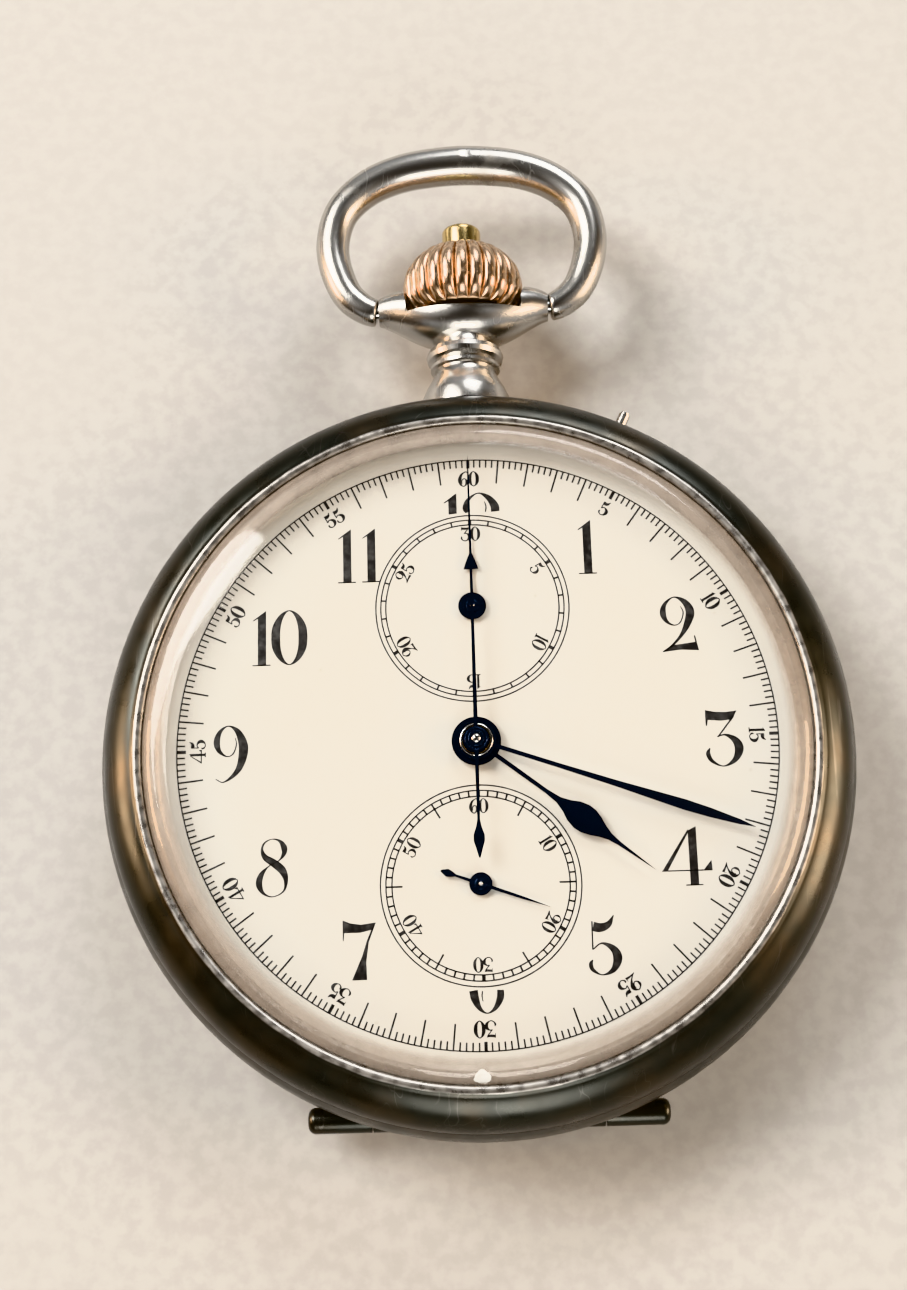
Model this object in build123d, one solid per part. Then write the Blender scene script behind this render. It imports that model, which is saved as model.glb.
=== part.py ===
from build123d import *
import math
import os

# An open-face pocket chronograph, in millimetres, lying on its back.
# X points to 3 o'clock, Y to 12 o'clock and Z out of the dial.
# The origin is the centre of the flat on the back cover.

# ---- Driving dimensions: case ----
CASE_R = 26.6            # widest circle of the case
CASE_MID_Z = 6.5         # height of the widest circle
REAR_JOINT_Z = 3.5       # back cover meets the case middle
FRONT_JOINT_Z = 9.1      # bezel meets the case middle
NECK_R = 24.2            # rims that the bezel and the back cover snap over
SNAP_GAP = 0.1
BACK_FLAT_R = 11.0
COVER_WALL = 0.5
CUVETTE_R = 22.4
CUVETTE_Z = 1.0
CUVETTE_WALL = 0.4
DIAL_R = 22.3
DIAL_Z = 9.6
DIAL_WALL = 0.6
DIAL_OPENING_R = 22.0
CRYSTAL_R = 22.85
CRYSTAL_SEAT_Z = 11.38
CRYSTAL_TOP_Z = 13.9
LIP_Z = 12.05

# ---- Driving dimensions: pendant, bow, crown ----
AXIS_Z = 6.4             # height of the pendant, stem and crown axis
BOW_PIVOT_Y = 34.35
EAR_X = 6.4
BOW_HALF_WIDTH = 9.87   # to the centre line of the bow
BOW_TOP_Y = 46.65
BOW_SIDE_Y = 40.6
CROWN_LOW_Y = 33.8
CROWN_HIGH_Y = 38.9
CROWN_R = 4.55
CROWN_RIBS = 24
BUTTON_R = 1.5
BUTTON_TOP_Y = 41.2
BUTTON_TRAVEL = 0.8
STEM_R = 0.9
STEM_BORE_R = 0.5
STEM_END_Y = 16.6
ROD_END_Y = 12.98
SETTING_PIN_ANGLE = 25.0  # degrees clockwise from 12 o'clock
SETTING_PIN_R = 0.42
SETTING_PIN_TIP = 27.9

# ---- Driving dimensions: bearing stones, screws and the bridges' feet ----
JEWEL_R = 0.75
SCREW_R = 0.4
SCREW_HEAD_R = 0.85
BARREL_BRIDGE_FEET = [(-14.5, 11.0), (10.8, 15.3), (17.8, -0.4), (-4.5, 17.8)]
TRAIN_BRIDGE_FEET = [(-17.5, -4.0), (-7.5, -16.2), (1.0, -17.9)]

# ---- Driving dimensions: hinge at 6 o'clock ----
HINGE_Y = -24.9
HINGE_Z = 3.3
KNUCKLE_R = 0.9
HINGE_PIN_R = 0.35
HINGE_HALF_LENGTH = 12.5
KNUCKLE_ROUNDING = 0.5
WEB_SETBACK = 1.1   # the fixed knuckles stand this far past their webs
CUVETTE_KNUCKLE_HALF = 3.0
COVER_KNUCKLE_END = 8.0
KNUCKLE_GAP = 0.1

# ---- Driving dimensions: movement ----
PLATE_R = 21.4
PLATE_Z = 7.3
PLATE_TOP_Z = 8.9
BRIDGE_R = 20.3
BRIDGE_Z = 3.6
BRIDGE_TOP_Z = 4.6
CENTRE = (0.0, 0.0)
RECORDER = (0.0, 9.75)
SECONDS = (0.0, -9.75)
BALANCE = (11.0, -8.6)
BALANCE_R = 6.2
TRAIN_MODULE = 0.14
ESCAPE_MODULE = 0.12
BARREL_MODULE = 0.2
PIVOT_R = 0.18
PIVOT_HOLE_R = 0.25
ARBOR_R = 0.32
HOUR_ANGLE = 128.0       # degrees clockwise from 12 o'clock
MINUTE_ANGLE = 109.5
SMALL_SECONDS_ANGLE = 109.9

# ---- Tooth counts ----
BARREL_TEETH = 80
CENTRE_PINION = 10
CENTRE_TEETH = 80
THIRD_PINION = 10
THIRD_TEETH = 75
FOURTH_PINION = 10
FOURTH_TEETH = 80
ESCAPE_PINION = 8
ESCAPE_TEETH = 15
CANNON_TEETH = 12
MINUTE_TEETH = 36
MINUTE_PINION = 10
HOUR_TEETH = 40
MOTION_MODULE = 0.15
WINDING_MODULE = 0.2
CROWN_WHEEL_TEETH = 28
RATCHET_TEETH = 60


# ---- Places worked out from the tooth counts ----
def polar(centre, distance, degrees):
    """The point at a distance and direction (anticlockwise from +X) from a centre."""
    angle = math.radians(degrees)
    return (centre[0] + distance * math.cos(angle), centre[1] + distance * math.sin(angle))


def spacing(module, teeth_a, teeth_b):
    """The distance between the centres of two meshing wheels."""
    return module * (teeth_a + teeth_b) / 2


def direction(start, end):
    """The direction from one centre to another, in degrees anticlockwise from +X."""
    return math.degrees(math.atan2(end[1] - start[1], end[0] - start[0]))


def meeting_point(a, distance_a, b, distance_b, side):
    """The point at given distances from two centres, left (+1) or right (-1) of a to b."""
    span = math.dist(a, b)
    along = (distance_a ** 2 - distance_b ** 2 + span ** 2) / (2 * span)
    across = math.sqrt(distance_a ** 2 - along ** 2)
    turn = math.degrees(math.atan2(across, along))
    return polar(a, distance_a, direction(a, b) + side * turn)


THIRD = meeting_point(CENTRE, spacing(TRAIN_MODULE, CENTRE_TEETH, THIRD_PINION),
                      SECONDS, spacing(TRAIN_MODULE, THIRD_TEETH, FOURTH_PINION), -1)
ESCAPE = polar(SECONDS, spacing(ESCAPE_MODULE, FOURTH_TEETH, ESCAPE_PINION), -32)
BARREL = polar(CENTRE, spacing(BARREL_MODULE, BARREL_TEETH, CENTRE_PINION), 35)
PALLET = polar(ESCAPE, 3.2, direction(ESCAPE, BALANCE))
CROWN_WHEEL = (0.0, 16.0)
MINUTE_WHEEL = polar(CENTRE, spacing(MOTION_MODULE, CANNON_TEETH, MINUTE_TEETH), 135)
HOUR_MODULE = math.dist(CENTRE, MINUTE_WHEEL) * 2 / (MINUTE_PINION + HOUR_TEETH)
INTERMEDIATE = meeting_point(CROWN_WHEEL, spacing(WINDING_MODULE, CROWN_WHEEL_TEETH, CROWN_WHEEL_TEETH),
                             BARREL, spacing(WINDING_MODULE, CROWN_WHEEL_TEETH, RATCHET_TEETH), 1)
CLICK = polar(BARREL, 8.4, -35)
COUPLING = meeting_point(SECONDS, 4.1, CENTRE, 6.66, 1)
COLUMN_WHEEL = (-8.0, 12.6)
HAMMER_PIVOT = (-4.2, 16.5)
BRAKE_PIVOT = (-11.0, 1.5)
OPERATING_PIVOT = (8.5, 12.65)
OPERATING_POST = (0.0, 12.65)


# ---- Shape helpers ----
def cylinder(centre, radius, low, high):
    """A solid cylinder parallel to Z."""
    return Location((centre[0], centre[1], low)) * extrude(Circle(radius), high - low)


def tube(centre, outer, inner, low, high):
    """A hollow cylinder parallel to Z."""
    return cylinder(centre, outer, low, high) - cylinder(centre, inner, low - 0.1, high + 0.1)


def turned(outline):
    """A solid of revolution about Z from (radius, height) points."""
    face = make_face(Plane.XZ * Polyline(*outline, close=True))
    return revolve(face, Axis.Z)


def turned_curve(edges):
    """A solid of revolution about Z from joined edges drawn as (radius, height)."""
    return revolve(make_face(Plane.XZ * (Curve() + edges)), Axis.Z)


def arc(start, middle, end):
    """A circular arc through three points."""
    return ThreePointArc(start, middle, end)


def dome(edge_r, top, edge_z):
    """A spherical cap's outline from the axis to its edge, as (radius, height)."""
    drop = top - edge_z
    radius = (edge_r ** 2 + drop ** 2) / (2 * drop)
    half = edge_r / 2
    return arc((0, top), (half, top - radius + math.sqrt(radius ** 2 - half ** 2)), (edge_r, edge_z))


def plate(points, low, high):
    """A flat plate of a polygonal outline, parallel to the dial."""
    return Location((0, 0, low)) * extrude(make_face(Polyline(*points, close=True)), high - low)


def on_axis(shape):
    """Turns a shape built about Z so that it lies about the pendant axis, pointing to 12."""
    return Location((0, 0, AXIS_Z), (-90, 0, 0)) * shape


def along_x(start_x, end_x, y, z, radius):
    """A cylinder parallel to X."""
    rod = extrude(Circle(radius), end_x - start_x)
    return Location((start_x, y, z), (0, 90, 0)) * rod


def bar(start, end, width, low, high):
    """A straight lever arm with round ends between two points."""
    middle = ((start[0] + end[0]) / 2, (start[1] + end[1]) / 2)
    face = SlotCenterToCenter(math.dist(start, end), width)
    shape = Location((middle[0], middle[1], low), (0, 0, direction(start, end))) * extrude(face, high - low)
    return shape


def tooth_points(teeth, module, first_tooth, addendum=0.9, dedendum=1.2):
    """The outline of a wheel whose first tooth points at an angle in degrees."""
    pitch = math.tau / teeth
    radius = module * teeth / 2
    shape = ((-0.27, radius - dedendum * module), (-0.11, radius + addendum * module),
             (0.11, radius + addendum * module), (0.27, radius - dedendum * module))
    points = []
    for tooth in range(teeth):
        for share, distance in shape:
            angle = math.radians(first_tooth) + (tooth + share) * pitch
            points.append((distance * math.cos(angle), distance * math.sin(angle)))
    return points


def gear(centre, teeth, module, low, high, first_tooth=0.0, addendum=0.9, dedendum=1.2):
    """A toothed wheel or pinion."""
    face = make_face(Polyline(*tooth_points(teeth, module, first_tooth, addendum, dedendum), close=True))
    return Location((centre[0], centre[1], low)) * extrude(face, high - low)


def crossed_out(wheel, centre, rim, hub, arms, low, high):
    """Cuts the openings between the arms out of a wheel."""
    opening = cylinder(centre, rim, low - 0.1, high + 0.1) - cylinder(centre, hub, low - 0.2, high + 0.2)
    for index in range(arms):
        arm = Location((centre[0], centre[1], 0), (0, 0, index * 360 / arms))
        spoke = arm * Pos(rim / 2, 0, (low + high) / 2) * Box(rim + 1, 0.16 * rim, high - low + 1)
        opening -= spoke
    return wheel - opening


def meshing_tooth(centre, other, teeth_other, first_tooth, teeth):
    """The direction of a tooth on the second wheel that fits a gap of the first."""
    towards = direction(centre, other)
    step = 360 / teeth
    phase = ((towards - first_tooth) / step) % 1.0
    return towards + 180 + (phase + 0.5) * 360 / teeth_other


def arbor(centre, low, shoulder_low, radius=ARBOR_R):
    """A wheel's axle with a thin pivot at each end, the upper one in the main plate."""
    return cylinder(centre, radius, shoulder_low, PLATE_Z - 0.02) + cylinder(centre, PIVOT_R, low, 8.0)


def one_solid(shape):
    """The largest solid of a shape."""
    return max(shape.solids(), key=lambda solid: solid.volume)


# ---- Case ----
def case_envelope():
    """Everything inside the outer surface of the case middle."""
    return turned_curve([
        Line((0, REAR_JOINT_Z), (25.7, REAR_JOINT_Z)),
        arc((25.7, REAR_JOINT_Z), (CASE_R, CASE_MID_Z), (26.05, FRONT_JOINT_Z)),
        Line((26.05, FRONT_JOINT_Z), (0, FRONT_JOINT_Z)),
        Line((0, FRONT_JOINT_Z), (0, REAR_JOINT_Z))])


def hinge_slot(radius, half_length):
    """The straight channel for the hinge barrel."""
    return along_x(-half_length, half_length, HINGE_Y, HINGE_Z, radius)


def knuckle(start_x, end_x, rounded_end=None):
    """One drilled knuckle of the hinge barrel; its first (0) or last (-1) end may be rounded."""
    solid = along_x(start_x, end_x, HINGE_Y, HINGE_Z, KNUCKLE_R)
    if rounded_end is not None:
        rim = solid.edges().filter_by(GeomType.CIRCLE).sort_by(Axis.X)[rounded_end]
        solid = fillet(rim, KNUCKLE_ROUNDING)
    return solid - along_x(start_x - 1, end_x + 1, HINGE_Y, HINGE_Z, HINGE_PIN_R + 0.03)


def case_middle():
    """The hollow band, with both snap rims, the movement ledge and two fixed knuckles."""
    inside = turned([(20.9, 2), (20.9, 7.2), (21.5, 7.2), (21.5, 9.5), (22.45, 9.5), (22.45, 11),
                     (0, 11), (0, 2)])
    hollow = turned([(20.8, 4.3), (25.2, 4.3), (25.5, 6.3), (20.8, 6.3)])
    cuvette_seat = cylinder(CENTRE, CUVETTE_R + 0.2, 2, 3.4)
    band = case_envelope()
    band += cylinder(CENTRE, NECK_R, 3.0, FRONT_JOINT_Z + 1.1)
    band -= inside
    band -= hollow
    band -= cuvette_seat
    band -= hinge_slot(KNUCKLE_R + 0.15, HINGE_HALF_LENGTH + 0.1)
    door = Pos(0, -22.9, 3.0) * Box(2 * COVER_KNUCKLE_END + 0.3, 2.6, 1.4)
    band -= door
    for side in (-1, 1):
        start, end = sorted((side * (COVER_KNUCKLE_END + KNUCKLE_GAP), side * HINGE_HALF_LENGTH))
        web_middle = (start + end - side * WEB_SETBACK) / 2
        web = Pos(web_middle, -23.85, 3.82) * Box(end - start - WEB_SETBACK, 2.1, 0.64)
        web -= along_x(start - 1, end + 1, HINGE_Y, HINGE_Z, KNUCKLE_R - 0.2)
        band += web + knuckle(start, end, 0 if side < 0 else -1)
    band -= on_axis(cylinder(CENTRE, 2.25, 19, 30))
    band -= setting_bore(0.8)
    return one_solid(band)


def setting_bore(radius):
    """The radial hole for the setting pin and its bush."""
    place = Location((0, 0, AXIS_Z + 0.4), (-90, 0, 0))
    return Rot(0, 0, -SETTING_PIN_ANGLE) * place * cylinder(CENTRE, radius, 20, 28)


def bezel():
    """The snap-on bezel with its bright inner slope and the seat for the crystal."""
    low = FRONT_JOINT_Z + 0.05
    inner = NECK_R + SNAP_GAP
    return turned_curve([
        Line((inner, low), (26.03, low)),
        arc((26.03, low), (25.25, 10.85), (23.6, 11.9)),
        arc((23.6, 11.9), (23.3, LIP_Z), (23.0, 11.95)),
        Line((23.0, 11.95), (22.95, CRYSTAL_SEAT_Z - 0.03)),
        Line((22.95, CRYSTAL_SEAT_Z - 0.03), (22.35, CRYSTAL_SEAT_Z - 0.03)),
        Line((22.35, CRYSTAL_SEAT_Z - 0.03), (DIAL_OPENING_R, 10.6)),
        Line((DIAL_OPENING_R, 10.6), (DIAL_OPENING_R, 10.3)),
        Line((DIAL_OPENING_R, 10.3), (inner, 10.3)),
        Line((inner, 10.3), (inner, low))])


def crystal():
    """The domed glass with a bevelled edge."""
    return turned_curve([
        dome(20.9, 12.5, 12.0),
        arc((20.9, 12.0), (21.8, 11.78), (22.3, CRYSTAL_SEAT_Z)),
        Line((22.3, CRYSTAL_SEAT_Z), (CRYSTAL_R, CRYSTAL_SEAT_Z)),
        Line((CRYSTAL_R, CRYSTAL_SEAT_Z), (CRYSTAL_R, 11.8)),
        Line((CRYSTAL_R, 11.8), (21.9, 12.55)),
        dome(21.9, CRYSTAL_TOP_Z, 12.55),
        Line((0, CRYSTAL_TOP_Z), (0, 12.5))])


def back_cover():
    """The snap-on back, cut straight at the hinge, with two knuckles."""
    rim = NECK_R + SNAP_GAP
    top = REAR_JOINT_Z - 0.05
    shell = turned_curve([
        Line((0, 0), (BACK_FLAT_R, 0)),
        arc((BACK_FLAT_R, 0), (19.5, 0.95), (25.65, top)),
        Line((25.65, top), (rim, top)),
        Line((rim, top), (rim, 2.85)),
        arc((rim, 2.85), (19.0, 1.3), (BACK_FLAT_R, COVER_WALL)),
        Line((BACK_FLAT_R, COVER_WALL), (0, COVER_WALL)),
        Line((0, COVER_WALL), (0, 0))])
    shell -= Pos(0, -24.1 - 2, 1.7) * Box(40, 4, 4)
    shell -= hinge_slot(KNUCKLE_R + 0.1, HINGE_HALF_LENGTH + 0.1)
    for side in (-1, 1):
        inner = CUVETTE_KNUCKLE_HALF + KNUCKLE_GAP
        start, end = sorted((side * inner, side * COVER_KNUCKLE_END))
        web_face = make_face(Polyline((HINGE_Y, 2.42), (HINGE_Y, 3.0), (-24.1, 2.95), (-23.4, 2.62),
                                      (-23.4, 2.2), close=True))
        web = extrude(Plane((start, 0, 0), (0, 1, 0), (1, 0, 0)) * web_face, end - start)
        web -= along_x(start - 1, end + 1, HINGE_Y, HINGE_Z, KNUCKLE_R - 0.2)
        shell += web + knuckle(start, end)
    return one_solid(shell)


def cuvette():
    """The inner dust cover, with one knuckle on the common pin."""
    shell = turned_curve([
        Line((0, CUVETTE_Z), (14, CUVETTE_Z)),
        arc((14, CUVETTE_Z), (19, 1.72), (CUVETTE_R, 2.95)),
        Line((CUVETTE_R, 2.95), (CUVETTE_R, 3.3)),
        Line((CUVETTE_R, 3.3), (CUVETTE_R - 0.6, 3.3)),
        arc((CUVETTE_R - 0.6, 3.3), (18.7, 2.1), (14, CUVETTE_Z + CUVETTE_WALL)),
        Line((14, CUVETTE_Z + CUVETTE_WALL), (0, CUVETTE_Z + CUVETTE_WALL)),
        Line((0, CUVETTE_Z + CUVETTE_WALL), (0, CUVETTE_Z))])
    half = CUVETTE_KNUCKLE_HALF
    web = Pos(0, -23.3, 3.125) * Box(2 * half, 2.6, 0.35)
    web -= along_x(-half - 1, half + 1, HINGE_Y, HINGE_Z, KNUCKLE_R - 0.2)
    return one_solid(shell + web + knuckle(-half, half))


def hinge_pin():
    """The common pin of the back cover and the cuvette."""
    return along_x(-HINGE_HALF_LENGTH, HINGE_HALF_LENGTH, HINGE_Y, HINGE_Z, HINGE_PIN_R)


# ---- Pendant, bow, crown and pushers ----
def saddle_section(x, centre_y, half_y, half_z):
    """One upright elliptical section of the pendant's saddle."""
    plane = Plane((x, centre_y, AXIS_Z), (0, 1, 0), (1, 0, 0))
    return plane * Ellipse(half_y, half_z)


def pendant():
    """The turned pendant, its saddle with two ears, bored for the sleeve."""
    neck = on_axis(turned([
        (0, 24.8), (2.2, 24.8), (2.2, 25.6), (3.25, 25.6), (3.25, 27.0), (2.95, 27.7), (2.45, 28.6),
        (2.3, 29.0), (2.3, 29.2), (2.6, 29.3), (2.6, 29.55), (2.35, 29.7), (2.8, 30.0), (2.9, 30.35),
        (2.75, 30.75), (2.1, 31.0), (1.95, 31.3), (1.95, 33.0), (0, 33.0)]))
    neck -= case_envelope()
    neck -= turned([(0, 9), (26.1, 9), (26.08, 9.4), (25.95, 10.0), (25.4, 10.8), (0, 11)])
    spigot = on_axis(cylinder(CENTRE, 2.2, 24.8, 27.0))
    saddle = loft([saddle_section(-EAR_X, BOW_PIVOT_Y, 1.05, 1.05),
                   saddle_section(-4.6, 34.2, 1.75, 1.8),
                   saddle_section(-2.2, 33.6, 2.2, 2.6),
                   saddle_section(0, 33.4, 2.3, 2.85),
                   saddle_section(2.2, 33.6, 2.2, 2.6),
                   saddle_section(4.6, 34.2, 1.75, 1.8),
                   saddle_section(EAR_X, BOW_PIVOT_Y, 1.05, 1.05)])
    body = neck + spigot + saddle
    body -= on_axis(cylinder(CENTRE, CROWN_R + 0.2, CROWN_LOW_Y - 0.2, 40))
    body -= on_axis(cylinder(CENTRE, 1.5, 20, 40))
    for side in (-1, 1):
        start, end = sorted((side * 5.0, side * 7.0))
        body -= along_x(start, end, BOW_PIVOT_Y, AXIS_Z, 0.57)
    return one_solid(body)


def pendant_sleeve():
    """The split steel sleeve that guides the stem."""
    sleeve = on_axis(tube(CENTRE, 1.48, 0.98, 24.9, 33.2))
    slit = Pos(0, 26.4, AXIS_Z) * Box(0.3, 3.2, 4)
    return one_solid(sleeve - slit)


def bow_section(x, y, angle, radius):
    """One round section of the bow, facing along its path."""
    heading = math.radians(angle)
    plane = Plane((x, y, AXIS_Z), (0, 0, 1), (math.cos(heading), math.sin(heading), 0))
    return plane * Circle(radius)


def bow():
    """The oval bow, thicker at its top, with a drilled end at each ear."""
    half = [(6.55, BOW_PIVOT_Y, 8, 1.04), (8.25, 35.3, 42, 1.16), (9.5, 37.55, 72, 1.24),
            (BOW_HALF_WIDTH, BOW_SIDE_Y, 97, 1.28), (8.8, 43.5, 129, 1.34), (6.25, 45.5, 155, 1.41),
            (3.2, 46.4, 172, 1.47), (0, BOW_TOP_Y, 180, 1.5)]
    sections = [bow_section(*entry) for entry in half]
    sections += [bow_section(-x, y, 360 - angle, radius) for x, y, angle, radius in reversed(half[:-1])]
    ring = loft(sections)
    for side in (-1, 1):
        start, end = sorted((side * 6.0, side * 7.6))
        ring -= along_x(start, end, BOW_PIVOT_Y, AXIS_Z, 0.57)
        flat_start, flat_end = sorted((side * 6.0, side * (EAR_X + 0.1)))
        ring -= along_x(flat_start, flat_end, BOW_PIVOT_Y, AXIS_Z, 1.6)
    return one_solid(ring)


def bow_pins():
    """The two pins that the bow turns on."""
    return Compound([along_x(5.05, 7.5, BOW_PIVOT_Y, AXIS_Z, 0.52).solid(),
                     along_x(-7.5, -5.05, BOW_PIVOT_Y, AXIS_Z, 0.52).solid()])


def crown_outline(inset):
    """Half the barrel-shaped outline of the crown, as edges of (radius, height)."""
    low, high = CROWN_LOW_Y, CROWN_HIGH_Y
    return [Line((1.0, low), (3.5 - inset, low)),
            arc((3.5 - inset, low), (4.25 - inset, low + 0.7), (CROWN_R - inset, low + 2.3)),
            arc((CROWN_R - inset, low + 2.3), (4.0 - inset, low + 4.1), (2.5 - inset / 2, high)),
            Line((2.5 - inset / 2, high), (1.0, high)),
            Line((1.0, high), (1.0, low))]


def crown():
    """The ribbed winding crown, hollow for the button."""
    core = turned_curve(crown_outline(0.32))
    rib_face = make_face(Plane.XZ * (Curve() + crown_outline(0)))
    rib = extrude(rib_face, 0.33, both=True)
    for index in range(CROWN_RIBS):
        core += Rot(0, 0, (index + 0.5) * 360 / CROWN_RIBS) * rib
    core -= cylinder(CENTRE, BUTTON_R + 0.08, 36.6, 40)
    core -= cylinder(CENTRE, STEM_BORE_R, 33, 40)
    core += tube(CENTRE, 1.2, STEM_BORE_R, CROWN_LOW_Y, 36.6)
    return one_solid(on_axis(core))


def winding_stem():
    """The hollow stem below the crown."""
    return one_solid(on_axis(tube(CENTRE, STEM_R, STEM_BORE_R, STEM_END_Y, CROWN_LOW_Y)))


def winding_pinion():
    """The pinion on the stem that drives the crown wheel."""
    pinion = gear(CENTRE, 20, WINDING_MODULE, 17.4, 19.2, 9.0, 0.8, 1.2)
    return one_solid(on_axis(pinion - cylinder(CENTRE, STEM_R, 17, 20)))


def chrono_button():
    """The start, stop and reset button with its long rod through the stem."""
    cap = turned_curve([
        Line((0, 38.0), (BUTTON_R, 38.0)),
        Line((BUTTON_R, 38.0), (BUTTON_R, 40.45)),
        arc((BUTTON_R, 40.45), (1.38, 40.75), (1.1, 40.95)),
        dome(1.1, BUTTON_TOP_Y, 40.95),
        Line((0, BUTTON_TOP_Y), (0, 38.0))])
    return one_solid(on_axis(cap + cylinder(CENTRE, 0.42, ROD_END_Y, 38.0)))


def setting_frame(shape):
    """Turns a shape built about Z so that it lies along the setting pin's radius."""
    return Rot(0, 0, -SETTING_PIN_ANGLE) * (Location((0, 0, AXIS_Z + 0.4), (-90, 0, 0)) * shape)


def setting_pin():
    """The push-pin beside the pendant that puts the crown into hand-setting."""
    pin = cylinder(CENTRE, SETTING_PIN_R, 22.3, SETTING_PIN_TIP - 0.15)
    tip = cylinder(CENTRE, SETTING_PIN_R - 0.1, SETTING_PIN_TIP - 0.15, SETTING_PIN_TIP)
    shoulder = cylinder(CENTRE, 0.7, 22.3, 22.7)
    return one_solid(setting_frame(pin + tip + shoulder))


def setting_pin_bush():
    """The bush that the setting pin slides in."""
    return one_solid(setting_frame(tube(CENTRE, 0.78, SETTING_PIN_R + 0.04, 25.0, 26.75)))


# ---- Dial and hands ----
def dial():
    """The enamelled dial with its centre holes and three feet."""
    disc = cylinder(CENTRE, DIAL_R, DIAL_Z, DIAL_Z + DIAL_WALL)
    disc -= cylinder(CENTRE, 1.5, 9, 11)
    disc -= cylinder(RECORDER, 0.45, 9, 11)
    disc -= cylinder(SECONDS, 0.45, 9, 11)
    for angle in (75, 195, 315):
        disc += cylinder(polar(CENTRE, 19.0, angle), 0.4, 7.9, DIAL_Z)
    return one_solid(disc)


def hand(centre, angle, face, low, high, hub_r, bore_r):
    """A flat hand drawn pointing to 12, with a hub, turned clockwise to an angle."""
    blade = extrude(face, high - low)
    blade += cylinder(CENTRE, hub_r, 0, high - low)
    blade -= cylinder(CENTRE, bore_r, -1, 2)
    return one_solid(Location((centre[0], centre[1], low), (0, 0, -angle)) * blade)


def spline_blade(half_outline, tip):
    """A symmetrical blade through (half width, distance) points, pointed at its tip."""
    right = [(width, distance) for width, distance in half_outline] + [(0, tip)]
    left = [(-width, distance) for width, distance in reversed(half_outline)]
    return make_face(Polyline(*(right + left), close=True))


def hour_hand():
    """The pear-shaped hour hand."""
    outline = [(0.15, 0), (0.14, 5.9), (0.22, 6.9), (0.46, 7.6), (0.78, 8.2), (0.94, 8.85), (0.92, 9.4),
               (0.72, 10.0), (0.43, 10.6), (0.23, 11.2), (0.13, 12.0), (0.08, 13.2)]
    return hand(CENTRE, HOUR_ANGLE, spline_blade(outline, 14.95), 10.75, 10.9, 1.7, 1.02)


def minute_hand():
    """The slender leaf-shaped minute hand."""
    outline = [(0.15, 0), (0.14, 1.6), (0.15, 5.8), (0.21, 10.1), (0.3, 12.8), (0.36, 14.8), (0.31, 16.6),
               (0.17, 18.6)]
    return hand(CENTRE, MINUTE_ANGLE, spline_blade(outline, 19.75), 11.2, 11.35, 1.35, 0.66)


def tail(points):
    """The part of a hand behind its hub, through (half width, distance) points."""
    right = [(width, -distance) for width, distance in points]
    left = [(-width, -distance) for width, distance in reversed(points)]
    return make_face(Polyline(*(right + left), close=True))


def chrono_seconds_hand():
    """The long centre seconds hand with its drop-shaped tail."""
    blade = spline_blade([(0.15, 0), (0.1, 10.0), (0.06, 19.0)], 20.6)
    drop = tail([(0.15, 0), (0.09, 5.6), (0.2, 6.1), (0.37, 6.6), (0.38, 7.0), (0.2, 7.6), (0.05, 8.15)])
    return hand(CENTRE, 0, blade + drop, 11.65, 11.8, 0.85, 0.3)


def minute_counter_hand():
    """The hand of the 30-minute register, with an arrowhead."""
    blade = spline_blade([(0.12, 0), (0.08, 2.7), (0.52, 2.72), (0.3, 3.35), (0.08, 3.9)], 6.2)
    return hand(RECORDER, 0, blade, 10.42, 10.56, 0.98, 0.2)


def small_seconds_hand():
    """The running small seconds hand with a short tail."""
    blade = spline_blade([(0.12, 0), (0.09, 3.0)], 5.0)
    drop = tail([(0.12, 0), (0.08, 1.8), (0.2, 2.1), (0.27, 2.4), (0.06, 2.85)])
    return hand(SECONDS, SMALL_SECONDS_ANGLE, blade + drop, 10.42, 10.56, 0.78, 0.2)


# ---- Movement plates ----
def mainplate():
    """The main plate, with a raised rim under the dial and clearance for the winding work."""
    shape = cylinder(CENTRE, PLATE_R, PLATE_Z, PLATE_TOP_Z)
    shape += tube(CENTRE, PLATE_R, 20.2, PLATE_TOP_Z, DIAL_Z)
    for centre in (THIRD, SECONDS, ESCAPE, PALLET, BALANCE, RECORDER):
        shape -= cylinder(centre, JEWEL_R + 0.01, 7, 10)
    shape -= cylinder(CENTRE, 1.0, 7, 10)
    shape -= on_axis(cylinder(CENTRE, 1.15, 11.4, 22))
    shape -= Pos(0, 18.3, 7.6) * Box(4.8, 2.6, 2.6)
    shape -= setting_frame(cylinder(CENTRE, 0.95, 18.5, 22))
    for angle in (75, 195, 315):
        shape -= cylinder(polar(CENTRE, 19.0, angle), 0.42, 7, 9)
    for place in bridge_screw_places():
        shape -= cylinder(place, SCREW_R + 0.02, 6.9, 8.7)
    return one_solid(shape)


def bridge_disc():
    """The disc that the bridges are cut from, open round the balance."""
    disc = cylinder(CENTRE, BRIDGE_R, BRIDGE_Z, BRIDGE_TOP_Z)
    disc -= cylinder(BALANCE, BALANCE_R + 0.7, 3, 5)
    return disc


def bridge_pillars(places):
    """The feet that hold a bridge off the main plate."""
    feet = cylinder(places[0], 1.3, BRIDGE_TOP_Z, PLATE_Z)
    for place in places[1:]:
        feet += cylinder(place, 1.3, BRIDGE_TOP_Z, PLATE_Z)
    return feet




def bridge_screw_places():
    """Every place where a screw holds a bridge or cock to the main plate."""
    return BARREL_BRIDGE_FEET + TRAIN_BRIDGE_FEET


def screw_holes(shape, places):
    """Drills and sinks the holes for the bridge screws."""
    for place in places:
        shape -= cylinder(place, SCREW_R + 0.02, 3, 8)
        shape -= cylinder(place, SCREW_HEAD_R + 0.03, 3, BRIDGE_Z + 0.4)
    return shape


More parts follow.
